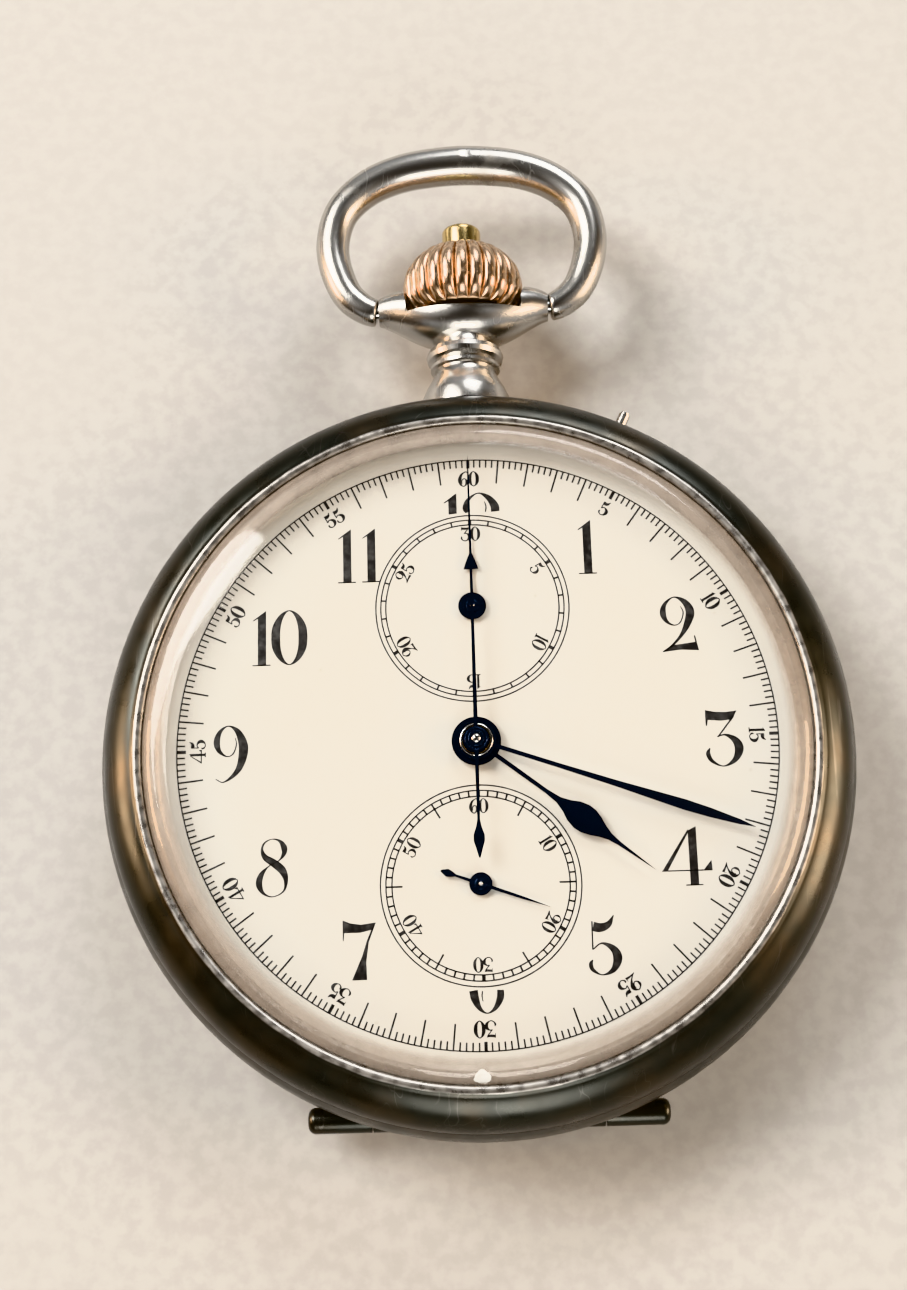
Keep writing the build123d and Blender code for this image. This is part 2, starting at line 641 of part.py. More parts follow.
def barrel_bridge():
    """The upper bridge over the barrel, the centre and the winding wheels."""
    upper = plate([(-21, 3.2), (0, -2.3), (21, -4.4), (21, 21), (-21, 21)], BRIDGE_Z, BRIDGE_TOP_Z)
    shape = bridge_disc() & upper
    shape += bridge_pillars(BARREL_BRIDGE_FEET)
    shape -= cylinder(CROWN_WHEEL, 3.15, 3, 4.2)
    shape -= Pos(0, 18.3, 4.2) * Box(4.8, 2.6, 1.6)
    shape -= cylinder(BARREL, 1.32, 3, 5)
    shape -= cylinder(CENTRE, 0.62, 3, 5)
    shape -= cylinder(RECORDER, JEWEL_R + 0.01, 3, 5)
    shape -= Pos(0, 12.25, 4) * Box(1.0, 1.9, 2)
    shape -= cylinder(CROWN_WHEEL, 0.72, 4, 5)
    return one_solid(screw_holes(shape, BARREL_BRIDGE_FEET))


def train_bridge():
    """The lower bridge over the third, fourth and escape wheels."""
    lower = plate([(-21, 3.0), (0, -2.5), (21, -4.6), (21, -21), (-21, -21)], BRIDGE_Z, BRIDGE_TOP_Z)
    shape = bridge_disc() & lower
    shape -= plate([(5.7, -24), (5.7, -2), (24, -2), (24, -24)], 3, 5)
    shape += bridge_pillars(TRAIN_BRIDGE_FEET)
    for centre in (THIRD, SECONDS, ESCAPE):
        shape -= cylinder(centre, JEWEL_R + 0.01, 3, 5)
    return one_solid(screw_holes(shape, TRAIN_BRIDGE_FEET))


def jewel(centre, low, high):
    """One pierced ruby bearing."""
    return tube(centre, JEWEL_R, PIVOT_HOLE_R, low, high).solid()


def jewels():
    """The ruby bearings in the plate, the bridges and the cocks."""
    stones = [jewel(centre, BRIDGE_Z + 0.2, BRIDGE_TOP_Z - 0.05) for centre in (THIRD, SECONDS, ESCAPE)]
    stones.append(tube(RECORDER, JEWEL_R, ARBOR_R + 0.05, BRIDGE_Z + 0.2, BRIDGE_TOP_Z - 0.05).solid())
    stones += [jewel(centre, PLATE_Z + 0.05, 8.2) for centre in (THIRD, ESCAPE, PALLET, BALANCE)]
    stones += [tube(centre, JEWEL_R, ARBOR_R + 0.05, PLATE_Z + 0.05, 8.6).solid()
               for centre in (SECONDS, RECORDER)]
    stones.append(jewel(BALANCE, 2.1, 2.7))
    stones.append(jewel(PALLET, 4.52, 4.78))
    return Compound(stones)


def bridge_screws():
    """The slotted screws of the bridges, one solid each."""
    screws = []
    for place in bridge_screw_places():
        screw = cylinder(place, SCREW_R, BRIDGE_Z, 8.6) + cylinder(place, SCREW_HEAD_R, BRIDGE_Z - 0.1, 4.0)
        screw -= Pos(place[0], place[1], BRIDGE_Z - 0.1) * Box(2, 0.22, 0.4)
        screws.append(one_solid(screw))
    return Compound(screws)


def case_screws():
    """The two screws whose heads clamp the main plate in the case."""
    screws = []
    for angle in (160, 340):
        place = polar(CENTRE, 19.6, angle)
        screw = cylinder(place, 0.45, PLATE_Z + 0.001, 8.4)
        screw += cylinder(place, 1.9, 6.35, PLATE_Z) & cylinder(CENTRE, 20.8, 6, 8)
        screw -= Pos(place[0], place[1], 6.35) * Box(5, 0.3, 0.5)
        screws.append(one_solid(screw))
    return Compound(screws)


# ---- Going train ----
def mainspring_barrel():
    """The toothed drum with its lid, hollow for the mainspring."""
    drum = cylinder(BARREL, 7.5, 5.5, 7.05)
    drum += gear(BARREL, BARREL_TEETH, BARREL_MODULE, 6.45, 7.05, direction(BARREL, CENTRE))
    drum -= cylinder(BARREL, 7.1, 5.8, 6.75)
    drum -= cylinder(BARREL, 1.2, 5, 8)
    return one_solid(drum)


def barrel_arbor():
    """The arbor that the mainspring is wound on, square under the ratchet wheel."""
    shaft = cylinder(BARREL, 1.15, 4.0, 7.2) + cylinder(BARREL, 1.8, 5.85, 6.7)
    shaft += Pos(BARREL[0], BARREL[1], 3.45) * Box(1.5, 1.5, 1.2)
    return one_solid(shaft)


def spiral_strip(centre, inner, outer, turns, width, low, high, steps=26):
    """A flat spiral spring, drawn with straight facets."""
    count = int(turns * steps)
    outside, inside = [], []
    for index in range(count + 1):
        share = index / count
        radius = inner + (outer - inner) * share
        angle = math.tau * turns * share
        outside.append((centre[0] + (radius + width / 2) * math.cos(angle),
                        centre[1] + (radius + width / 2) * math.sin(angle)))
        inside.append((centre[0] + (radius - width / 2) * math.cos(angle),
                       centre[1] + (radius - width / 2) * math.sin(angle)))
    return plate(outside + inside[::-1], low, high)


def mainspring():
    """The flat spiral mainspring, partly wound."""
    return one_solid(spiral_strip(BARREL, 2.1, 6.9, 6.0, 0.16, 5.95, 6.6))


def centre_wheel():
    """The centre wheel on its hollow pinion."""
    wheel = gear(CENTRE, CENTRE_TEETH, TRAIN_MODULE, 4.9, 5.15, direction(CENTRE, THIRD))
    wheel = crossed_out(wheel, CENTRE, 4.9, 1.2, 4, 4.9, 5.15)
    first = meshing_tooth(BARREL, CENTRE, CENTRE_PINION, direction(BARREL, CENTRE), BARREL_TEETH)
    pinion = gear(CENTRE, CENTRE_PINION, BARREL_MODULE, 6.3, 7.15, first)
    shaft = cylinder(CENTRE, 0.56, 3.7, 9.0)
    return one_solid(wheel + pinion + shaft - cylinder(CENTRE, 0.36, 3, 10))


def third_wheel():
    """The third wheel and pinion."""
    first = meshing_tooth(CENTRE, THIRD, THIRD_PINION, direction(CENTRE, THIRD), CENTRE_TEETH)
    pinion = gear(THIRD, THIRD_PINION, TRAIN_MODULE, 4.8, 5.4, first)
    wheel = gear(THIRD, THIRD_TEETH, TRAIN_MODULE, 5.8, 6.05, direction(THIRD, SECONDS))
    wheel = crossed_out(wheel, THIRD, 4.6, 1.0, 4, 5.8, 6.05)
    return one_solid(arbor(THIRD, 3.9, 4.62) + wheel + pinion)


def fourth_wheel():
    """The fourth wheel, whose long arbor carries the small seconds hand."""
    first = meshing_tooth(THIRD, SECONDS, FOURTH_PINION, direction(THIRD, SECONDS), THIRD_TEETH)
    pinion = gear(SECONDS, FOURTH_PINION, TRAIN_MODULE, 5.65, 6.2, first)
    wheel = gear(SECONDS, FOURTH_TEETH, ESCAPE_MODULE, 6.5, 6.75, direction(SECONDS, ESCAPE))
    wheel = crossed_out(wheel, SECONDS, 4.2, 0.9, 4, 6.5, 6.75)
    shaft = cylinder(SECONDS, ARBOR_R, 4.7, 8.9) + cylinder(SECONDS, PIVOT_R, 2.2, 10.6)
    return one_solid(shaft + wheel + pinion)


def escape_wheel():
    """The escape wheel with its raked teeth, and its pinion."""
    first = meshing_tooth(SECONDS, ESCAPE, ESCAPE_PINION, direction(SECONDS, ESCAPE), FOURTH_TEETH)
    pinion = gear(ESCAPE, ESCAPE_PINION, ESCAPE_MODULE, 6.35, 6.9, first)
    points = []
    for tooth in range(ESCAPE_TEETH):
        start = tooth * 360 / ESCAPE_TEETH
        points += [polar(ESCAPE, 1.85, start), polar(ESCAPE, 2.4, start + 10), polar(ESCAPE, 2.4, start + 12.5),
                   polar(ESCAPE, 1.85, start + 10)]
    wheel = crossed_out(plate(points, 5.0, 5.2), ESCAPE, 1.5, 0.6, 4, 5.0, 5.2)
    return one_solid(arbor(ESCAPE, 3.9, 4.62) + wheel + pinion)


def pallet_fork():
    """The lever with two jewelled arms and the fork towards the balance."""
    heading = direction(PALLET, BALANCE)
    lever = bar(PALLET, polar(PALLET, 2.9, heading), 0.5, 5.0, 5.3)
    for side in (-1, 1):
        elbow = polar(PALLET, 1.5, heading + side * 100)
        lever += bar(PALLET, elbow, 0.45, 5.0, 5.3)
        lever += bar(elbow, polar(elbow, 0.45, heading + 180 + side * 12), 0.4, 5.0, 5.3)
        lever += bar(polar(PALLET, 2.9, heading), polar(polar(PALLET, 3.35, heading), 0.35, heading + side * 90),
                     0.24, 5.0, 5.3)
    return one_solid(lever + arbor(PALLET, 4.55, 4.85, 0.3))


def pallet_cock():
    """The small bridge over the pallet fork."""
    heading = direction(PALLET, BALANCE)
    foot = polar(PALLET, 3.1, heading - 90)
    arm = bar(PALLET, foot, 1.9, 4.5, 4.8) - cylinder(PALLET, JEWEL_R + 0.01, 4, 5)
    return one_solid(arm + cylinder(foot, 0.9, 4.7, PLATE_Z))


def balance_wheel():
    """The cut bimetallic balance with its timing screws, staff and roller."""
    low, high = 3.72, 4.4
    rim = tube(BALANCE, BALANCE_R - 0.25, BALANCE_R - 0.85, low, high)
    arm = Location((BALANCE[0], BALANCE[1], 4.1), (0, 0, 30)) * Box(2 * BALANCE_R - 1.2, 0.7, 0.35)
    wheel = rim + arm + cylinder(BALANCE, 0.9, 3.85, 4.3)
    for index in range(12):
        angle = 30 + 15 + index * 30
        screw = Location((BALANCE[0], BALANCE[1], 4.06), (0, 0, angle))
        wheel += screw * (Pos(BALANCE_R - 0.15, 0, 0) * Box(0.6, 0.44, 0.44))
    for side in (0, 180):
        cut = Location((BALANCE[0], BALANCE[1], 4.06), (0, 0, 30 + side + 9))
        wheel -= cut * (Pos(BALANCE_R - 0.5, 0, 0) * Box(1.4, 0.18, 1))
    staff = cylinder(BALANCE, 0.3, 2.85, 7.2) + cylinder(BALANCE, PIVOT_R, 2.3, 7.9)
    roller = cylinder(BALANCE, 0.75, 4.95, 5.25)
    return one_solid(wheel + staff + roller)


def hairspring():
    """The flat spiral that returns the balance, pinned under the cock."""
    return one_solid(spiral_strip(BALANCE, 0.55, 3.3, 8.0, 0.07, 3.1, 3.35))


def balance_cock():
    """The cock over the balance, stepped down at its foot."""
    foot = polar(BALANCE, 7.9, -118)
    shape = bar(BALANCE, foot, 2.6, 2.05, 2.75) & cylinder(CENTRE, 17.4, 1, 4)
    shape += cylinder(BALANCE, 1.7, 2.05, 2.75)
    block = cylinder(foot, 1.35, 2.35, PLATE_Z) - cylinder(BALANCE, BALANCE_R + 0.3, 2.8, 5)
    shape += block
    shape -= cylinder(BALANCE, JEWEL_R + 0.01, 1, 5)
    return one_solid(shape)


def regulator():
    """The regulator with its index, round the balance jewel."""
    shape = tube(BALANCE, 1.5, 1.0, 1.75, 2.0)
    shape += bar(polar(BALANCE, 1.25, 130), polar(BALANCE, 4.6, 130), 0.36, 1.75, 2.0)
    shape += cylinder(polar(BALANCE, 3.6, 130), 0.14, 2.0, 3.05)
    return one_solid(shape)


# ---- Motion work under the dial ----
def cannon_pinion():
    """The friction-driven cannon pinion that carries the minute hand."""
    teeth = gear(CENTRE, CANNON_TEETH, MOTION_MODULE, 8.97, 9.2, direction(CENTRE, MINUTE_WHEEL))
    return one_solid(teeth + cylinder(CENTRE, 0.66, 9.1, 11.35) - cylinder(CENTRE, 0.6, 8, 12))


def minute_wheel():
    """The minute wheel and pinion."""
    first = meshing_tooth(CENTRE, MINUTE_WHEEL, MINUTE_TEETH, direction(CENTRE, MINUTE_WHEEL), CANNON_TEETH)
    wheel = gear(MINUTE_WHEEL, MINUTE_TEETH, MOTION_MODULE, 8.97, 9.15, first)
    pinion = gear(MINUTE_WHEEL, MINUTE_PINION, HOUR_MODULE, 9.1, 9.5, direction(MINUTE_WHEEL, CENTRE))
    return one_solid(wheel + pinion - cylinder(MINUTE_WHEEL, 0.3, 8, 10))


def minute_wheel_stud():
    """The stud that the minute wheel turns on."""
    return one_solid(cylinder(MINUTE_WHEEL, 0.26, PLATE_TOP_Z, 9.45))


def hour_wheel():
    """The hour wheel, whose pipe carries the hour hand."""
    first = meshing_tooth(MINUTE_WHEEL, CENTRE, HOUR_TEETH, direction(MINUTE_WHEEL, CENTRE), MINUTE_PINION)
    wheel = gear(CENTRE, HOUR_TEETH, HOUR_MODULE, 9.25, 9.45, first)
    return one_solid(wheel + cylinder(CENTRE, 1.02, 9.25, 10.9) - cylinder(CENTRE, 0.72, 9, 12))


# ---- Keyless winding work ----
def winding_first_teeth():
    """The tooth directions of the crown wheel, the intermediate wheel and the ratchet wheel."""
    first = direction(CROWN_WHEEL, INTERMEDIATE)
    second = meshing_tooth(CROWN_WHEEL, INTERMEDIATE, CROWN_WHEEL_TEETH, first, CROWN_WHEEL_TEETH)
    third = meshing_tooth(INTERMEDIATE, BARREL, RATCHET_TEETH, second, CROWN_WHEEL_TEETH)
    return first, second, third


def crown_wheel():
    """The crown wheel sunk in the barrel bridge over the winding pinion."""
    teeth = gear(CROWN_WHEEL, CROWN_WHEEL_TEETH, WINDING_MODULE, 2.95, 4.1, winding_first_teeth()[0])
    return one_solid(teeth - cylinder(CROWN_WHEEL, 0.75, 2, 5))


def intermediate_winding_wheel():
    """The wheel between the crown wheel and the ratchet wheel."""
    teeth = gear(INTERMEDIATE, CROWN_WHEEL_TEETH, WINDING_MODULE, 2.95, 3.4, winding_first_teeth()[1])
    return one_solid(teeth - cylinder(INTERMEDIATE, 0.75, 2, 5))


def ratchet_wheel():
    """The ratchet wheel on the square of the barrel arbor."""
    wheel = gear(BARREL, RATCHET_TEETH, WINDING_MODULE, 2.95, 3.4, winding_first_teeth()[2])
    return one_solid(wheel - Pos(BARREL[0], BARREL[1], 3.2) * Box(1.52, 1.52, 2))


def click():
    """The click that keeps the mainspring wound."""
    nose = polar(BARREL, 6.75, -24)
    shape = bar(CLICK, nose, 0.9, 2.95, 3.4) + cylinder(CLICK, 0.9, 2.95, 3.4)
    return one_solid(shape - cylinder(CLICK, 0.42, 2, 5))


# ---- Chronograph work on the bridges ----
def heart(centre, scale, low, high, angle=90):
    """A heart-shaped reset cam whose notch faces an angle."""
    points = []
    for index in range(36):
        share = index / 36
        spread = abs(share - 0.5) * 2
        points.append(polar(centre, scale * (0.45 + 0.55 * (1 - spread)), angle + 360 * share))
    return plate(points, low, high)


def chronograph_wheel():
    """The centre chronograph wheel with its heart and the arbor of the seconds hand."""
    wheel = crossed_out(gear(CENTRE, 150, 0.066, 2.45, 2.65), CENTRE, 4.3, 1.0, 5, 2.45, 2.65)
    shaft = cylinder(CENTRE, 0.29, 1.95, 11.95)
    finger = bar(CENTRE, (0.0, 1.9), 0.3, 2.34, 2.5)
    return one_solid(wheel + shaft + heart(CENTRE, 1.25, 2.65, 3.0) + finger)


def chronograph_bridge():
    """The slim bridge over the chronograph wheel."""
    left, right = (-6.2, 1.5), (6.2, -2.6)
    shape = bar(left, right, 1.7, 1.75, 2.3)
    shape += cylinder(left, 0.85, 1.75, BRIDGE_Z) + cylinder(right, 0.85, 1.75, BRIDGE_Z)
    return one_solid(shape - cylinder(CENTRE, 0.33, 1, 3))


def driving_wheel():
    """The fine-toothed wheel on the rear end of the fourth arbor."""
    wheel = gear(SECONDS, 76, 0.066, 2.45, 2.65)
    return one_solid(wheel - cylinder(SECONDS, PIVOT_R, 2, 3))


def coupling_lever():
    """The lever that brings the coupling wheel up to the chronograph wheel."""
    shape = bar(SECONDS, COUPLING, 1.1, 2.85, 3.25)
    shape += bar(SECONDS, (-9.0, -8.0), 1.0, 2.85, 3.25)
    shape += bar((-9.0, -8.0), (-12.6, -2.0), 0.9, 2.85, 3.25)
    shape += cylinder(SECONDS, 1.2, 2.85, 3.25)
    shape += cylinder(COUPLING, 0.22, 2.3, 3.0)
    return one_solid(shape - cylinder(SECONDS, 0.4, 2, 4))


def coupling_wheel():
    """The coupling wheel on the coupling lever."""
    wheel = gear(COUPLING, 44, 0.066, 2.45, 2.65)
    return one_solid(wheel - cylinder(COUPLING, 0.26, 2, 3))


def column_wheel():
    """The column wheel with six columns on a ratchet."""
    base = gear(COLUMN_WHEEL, 18, 0.24, 3.05, 3.4)
    for index in range(6):
        place = polar(COLUMN_WHEEL, 1.35, index * 60)
        base += cylinder(place, 0.36, 2.2, 3.1)
    return one_solid(base - cylinder(COLUMN_WHEEL, 0.5, 2, 4))


def reset_hammer():
    """The double hammer that brings both hearts back to zero."""
    shape = bar(HAMMER_PIVOT, (-2.3, 9.9), 0.9, 2.75, 3.05)
    shape += bar((-2.3, 9.9), (-3.5, 4.5), 0.7, 2.75, 3.05)
    shape += bar((-3.5, 4.5), (-2.3, 1.1), 0.7, 2.75, 3.05)
    return one_solid(shape - cylinder(HAMMER_PIVOT, 0.32, 2, 4))


def brake_lever():
    """The lever that holds the chronograph wheel while it is stopped."""
    shape = bar(BRAKE_PIVOT, (-7.6, -1.9), 0.8, 2.4, 2.7)
    shape += bar((-7.6, -1.9), (-5.9, -1.3), 0.6, 2.4, 2.7)
    shape += bar(BRAKE_PIVOT, (-12.2, 7.5), 0.7, 2.4, 2.7)
    return one_solid(shape - cylinder(BRAKE_PIVOT, 0.32, 2, 4))


def shouldered_screw(place, radius, head_radius, head_low, head_high):
    """A screw whose plain shoulder a wheel or lever turns on."""
    shape = cylinder(place, radius, head_low, BRIDGE_Z) + cylinder(place, head_radius, head_low, head_high)
    return one_solid(shape - Pos(place[0], place[1], head_low) * Box(3, 0.18, 0.24))


def shouldered_screws():
    """The screws that the winding wheels, the click and the levers turn on."""
    screws = [one_solid(shouldered_screw(CROWN_WHEEL, 0.7, 1.1, 2.7, 2.9) + cylinder(CROWN_WHEEL, 0.7, 3.5, 4.6)),
              shouldered_screw(INTERMEDIATE, 0.7, 1.1, 2.7, 2.9),
              shouldered_screw(CLICK, 0.38, 0.8, 2.65, 2.9),
              shouldered_screw(COLUMN_WHEEL, 0.46, 0.75, 2.45, 2.95)]
    for place in (HAMMER_PIVOT, BRAKE_PIVOT):
        screws.append(shouldered_screw(place, 0.28, 0.6, 2.05, 2.3))
    screws.append(shouldered_screw(OPERATING_PIVOT, 0.28, 0.6, 1.65, 1.9))
    return Compound(screws)


def minute_recorder_wheel():
    """The 30-tooth recorder wheel with its heart and the arbor of the counter hand."""
    wheel = gear(RECORDER, 30, 0.11, 2.4, 2.6)
    shaft = cylinder(RECORDER, PIVOT_R, 2.1, 10.6) + cylinder(RECORDER, ARBOR_R, 2.4, 8.7)
    return one_solid(wheel + shaft + heart(RECORDER, 1.05, 2.6, 3.0))


def operating_lever():
    """The lever that the button's rod pushes, with a hook for the column wheel."""
    shape = bar(OPERATING_PIVOT, OPERATING_POST, 0.9, 1.95, 2.25)
    shape += bar(OPERATING_POST, (-5.0, 12.4), 0.7, 1.95, 2.25)
    shape += cylinder(OPERATING_POST, 0.3, 2.0, 6.9)
    return one_solid(shape - cylinder(OPERATING_PIVOT, 0.32, 1, 4))


NODES = [case_middle, bezel, crystal, back_cover, cuvette, hinge_pin, pendant, pendant_sleeve, bow, bow_pins,
         crown, winding_stem, winding_pinion, chrono_button, setting_pin, setting_pin_bush, dial, hour_hand,
         minute_hand, chrono_seconds_hand, minute_counter_hand, small_seconds_hand, mainplate, barrel_bridge,
         train_bridge, jewels, bridge_screws, case_screws, mainspring_barrel, barrel_arbor, mainspring,
         centre_wheel, third_wheel, fourth_wheel, escape_wheel, pallet_fork, pallet_cock, balance_wheel,
         hairspring, balance_cock, regulator, cannon_pinion, minute_wheel, minute_wheel_stud, hour_wheel,
         crown_wheel, intermediate_winding_wheel, ratchet_wheel, click, shouldered_screws,
         chronograph_wheel, chronograph_bridge, driving_wheel, coupling_lever, coupling_wheel, column_wheel,
         reset_hammer, brake_lever, minute_recorder_wheel, operating_lever]


def main():
    """Writes one STEP file for each node."""
    os.makedirs("parts", exist_ok=True)
    for build in NODES:
        export_step(build(), f"parts/{build.__name__}.step")


main()
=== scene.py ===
"""Looks of a pocket chronograph: an enamel dial with two registers in an oxidised case.

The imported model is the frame. Every sub-assembly is a class with its sizes in millimetres as fields,
each finish is a small frozen class that makes one node material, and shapes are whole numpy grids.
"""

import logging
import math
from dataclasses import dataclass, field
from enum import Enum
from typing import Sequence

import bmesh
import bpy
import numpy as np
from mathutils import Matrix


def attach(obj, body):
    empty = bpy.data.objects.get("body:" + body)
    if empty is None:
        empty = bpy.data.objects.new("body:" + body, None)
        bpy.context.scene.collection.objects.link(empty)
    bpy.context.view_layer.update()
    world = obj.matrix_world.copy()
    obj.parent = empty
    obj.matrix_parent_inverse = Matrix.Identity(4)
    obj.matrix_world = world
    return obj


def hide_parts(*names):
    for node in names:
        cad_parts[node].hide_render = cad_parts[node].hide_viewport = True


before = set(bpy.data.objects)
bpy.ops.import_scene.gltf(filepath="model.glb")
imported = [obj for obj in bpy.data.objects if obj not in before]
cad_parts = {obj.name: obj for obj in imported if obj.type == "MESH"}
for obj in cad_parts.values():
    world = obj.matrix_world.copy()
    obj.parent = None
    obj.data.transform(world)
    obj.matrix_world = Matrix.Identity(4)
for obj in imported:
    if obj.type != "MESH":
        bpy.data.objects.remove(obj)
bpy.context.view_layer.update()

LOG = logging.getLogger("pocket_chronograph")
MM = 0.001
DIAL_TOP = 10.2
CROWN_AXIS_Z = 6.4
REGISTER_OFFSET = 9.75
FULL_TURN = 2 * math.pi

Point = tuple[float, float]
Colour = tuple[float, float, float]
Grid = np.ndarray
Socket = bpy.types.NodeSocket


class Axis(Enum):
    """The line that a turned piece is turned about."""

    DIAL = "through the dial's centre, upwards"
    CROWN = "along the winding stem, towards 12 o'clock"


# ---------------------------------------------------------------- outlines


def straight(start: Point, end: Point, count: int = 2) -> Grid:
    """Points evenly spaced on the straight run from start to end.

    Args:
        start: First point.
        end: Last point.
        count: How many points, both ends among them.

    Returns:
        An array of count rows.
    """
    share = np.linspace(0.0, 1.0, count)[:, None]
    return np.array(start) * (1 - share) + np.array(end) * share


def arc(start: Point, middle: Point, end: Point, count: int = 9) -> Grid:
    """Points on the circle through three points: centre from the two chords' bisectors, then equal angles.

    Args:
        start: First point.
        middle: A point that the arc passes through.
        end: Last point.
        count: How many points, both ends among them.

    Returns:
        An array of count rows.
    """
    a, b, c = (np.array(p, float) for p in (start, middle, end))
    chords = 2 * np.array([b - a, c - a])
    centre = np.linalg.solve(chords, np.array([b @ b - a @ a, c @ c - a @ a]))
    angles = np.unwrap([math.atan2(*(p - centre)[::-1]) for p in (a, b, c)])
    swept = np.linspace(angles[0], angles[2], count)
    return centre + np.linalg.norm(a - centre) * np.stack([np.cos(swept), np.sin(swept)], 1)


def outline(*runs: Grid) -> Grid:
    """Joins runs into one line, without the points that repeat where one run meets the next.

    Args:
        runs: Arrays of points, each starting where the last one ends.

    Returns:
        One array of points.
    """
    points = np.concatenate(runs)
    keep = np.ones(len(points), bool)
    keep[1:] = np.linalg.norm(np.diff(points, axis=0), axis=1) > 1e-6
    return points[keep]


def smooth_curve(points: Sequence[Sequence[float]], per_span: int, closed: bool = False) -> Grid:
    """A Catmull-Rom curve: each span is the cubic whose end slopes are half the chord of its neighbours.

    Args:
        points: The points that the curve passes through, with any number of columns.
        per_span: Points made for each span.
        closed: True if the last point joins the first.

    Returns:
        The curve's points.
    """
    p = np.array(points, float)
    padded = np.concatenate([p[-1:], p, p[:2]]) if closed else np.concatenate(
        [2 * p[:1] - p[1:2], p, 2 * p[-1:] - p[-2:-1]]
    )
    a, b, c, d = padded[:-3], padded[1:-2], padded[2:-1], padded[3:]
    t = np.linspace(0, 1, per_span, endpoint=False)[None, :, None]
    a, b, c, d = (x[:, None, :] for x in (a, b, c, d))
    curve = 0.5 * (
        2 * b + (c - a) * t + (2 * a - 5 * b + 4 * c - d) * t**2 + (3 * b - a - 3 * c + d) * t**3
    )
    curve = curve.reshape(-1, p.shape[1])
    return curve if closed else np.concatenate([curve, p[-1:]])


# ---------------------------------------------------------------- surfaces


@dataclass
class Surface:
    """Vertices in millimetres and faces of one piece, gathered part by part."""

    points: list[Grid] = field(default_factory=list)
    faces: list[Grid] = field(default_factory=list)
    count: int = 0

    def add(self, points: Grid, faces: Grid) -> None:
        """Adds one part, its faces numbered from its own first vertex.

        Args:
            points: Vertices, any leading shape with three columns.
            faces: Vertex numbers, one row a face.
        """
        flat = points.reshape(-1, 3)
        self.points.append(flat)
        self.faces.append(faces + self.count)
        self.count += len(flat)

    def add_grid(self, points: Grid, wrap_rows: bool, wrap_columns: bool) -> None:
        """Adds a grid of points as quads, joined round in either direction where it wraps.

        Args:
            points: Array of rows by columns by three.
            wrap_rows: True if the last row joins the first.
            wrap_columns: True if the last column joins the first.
        """
        rows, columns = points.shape[:2]
        i = np.arange(rows if wrap_rows else rows - 1)[:, None]
        j = np.arange(columns if wrap_columns else columns - 1)[None, :]
        i_next, j_next = (i + 1) % rows, (j + 1) % columns
        corners = [i * columns + j, i * columns + j_next, i_next * columns + j_next, i_next * columns + j]
        self.add(points, np.stack([c.ravel() for c in np.broadcast_arrays(*corners)], 1))

    def add_prism(self, loop: Grid, low: float, high: float) -> None:
        """Adds a closed flat plate: one polygon at each height and a wall between them.

        Args:
            loop: The polygon's points in the plane, in order.
            low: Height of the underside.
            high: Height of the top.
        """
        n = len(loop)
        both = np.concatenate([np.column_stack([loop, np.full(n, z)]) for z in (low, high)])
        i = np.arange(n)
        self.add(both, np.stack([i, (i + 1) % n, (i + 1) % n + n, i + n], 1))
        base = self.count - 2 * n
        self.faces.append(np.array([base + i[::-1]]))
        self.faces.append(np.array([base + n + i]))

    def add_ribbon(self, left: Grid, right: Grid, low: float, high: float, closed: bool) -> None:
        """Adds a flat strip between two edges as a closed thin tube of four-sided section.

        Args:
            left: Points of one edge in the plane.
            right: Points of the other edge, as many.
            low: Height of the underside.
            high: Height of the top.
            closed: True if the strip joins its own start.
        """
        n = len(left)
        corners = ((left, high), (right, high), (right, low), (left, low))
        rows = [np.column_stack([edge, np.full(n, z)]) for edge, z in corners]
        tube = np.stack(rows, 1)
        self.add_grid(tube, closed, True)
        if not closed:
            base = self.count - 4 * n
            self.faces.append(base + np.array([[0, 1, 2, 3]]))
            self.faces.append(base + 4 * (n - 1) + np.array([[3, 2, 1, 0]]))

    def piece(
        self, name: str, body: str, material: bpy.types.Material, slot: str, sharp_deg: float = 38.0
    ) -> bpy.types.Object:
        """Makes the object: scaled to metres, doubles merged, normals outward, smooth but at sharp edges.

        Args:
            name: The piece's name.
            body: The CAD body that it rides on.
            material: Its finish.
            slot: The name of a material slot; not used.
            sharp_deg: Edges that turn more than this stay sharp.

        Returns:
            The finished object.
        """
        mesh = bpy.data.meshes.new(name)
        faces = [row for block in self.faces for row in block.tolist()]
        mesh.from_pydata((np.concatenate(self.points) * MM).tolist(), [], faces)
        work = bmesh.new()
        work.from_mesh(mesh)
        bmesh.ops.remove_doubles(work, verts=work.verts, dist=2e-7)
        bmesh.ops.dissolve_degenerate(work, edges=work.edges, dist=1e-8)
        bmesh.ops.recalc_face_normals(work, faces=work.faces)
        work.to_mesh(mesh)
        work.free()
        mesh.polygons.foreach_set("use_smooth", np.ones(len(mesh.polygons), bool))
        mesh.set_sharp_from_angle(angle=math.radians(sharp_deg))
        mesh.materials.append(material)
        made = bpy.data.objects.new(name, mesh)
        bpy.context.scene.collection.objects.link(made)
        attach(made, body)
        LOG.info("%s: %d faces on body %s", name, len(mesh.polygons), body)
        return made


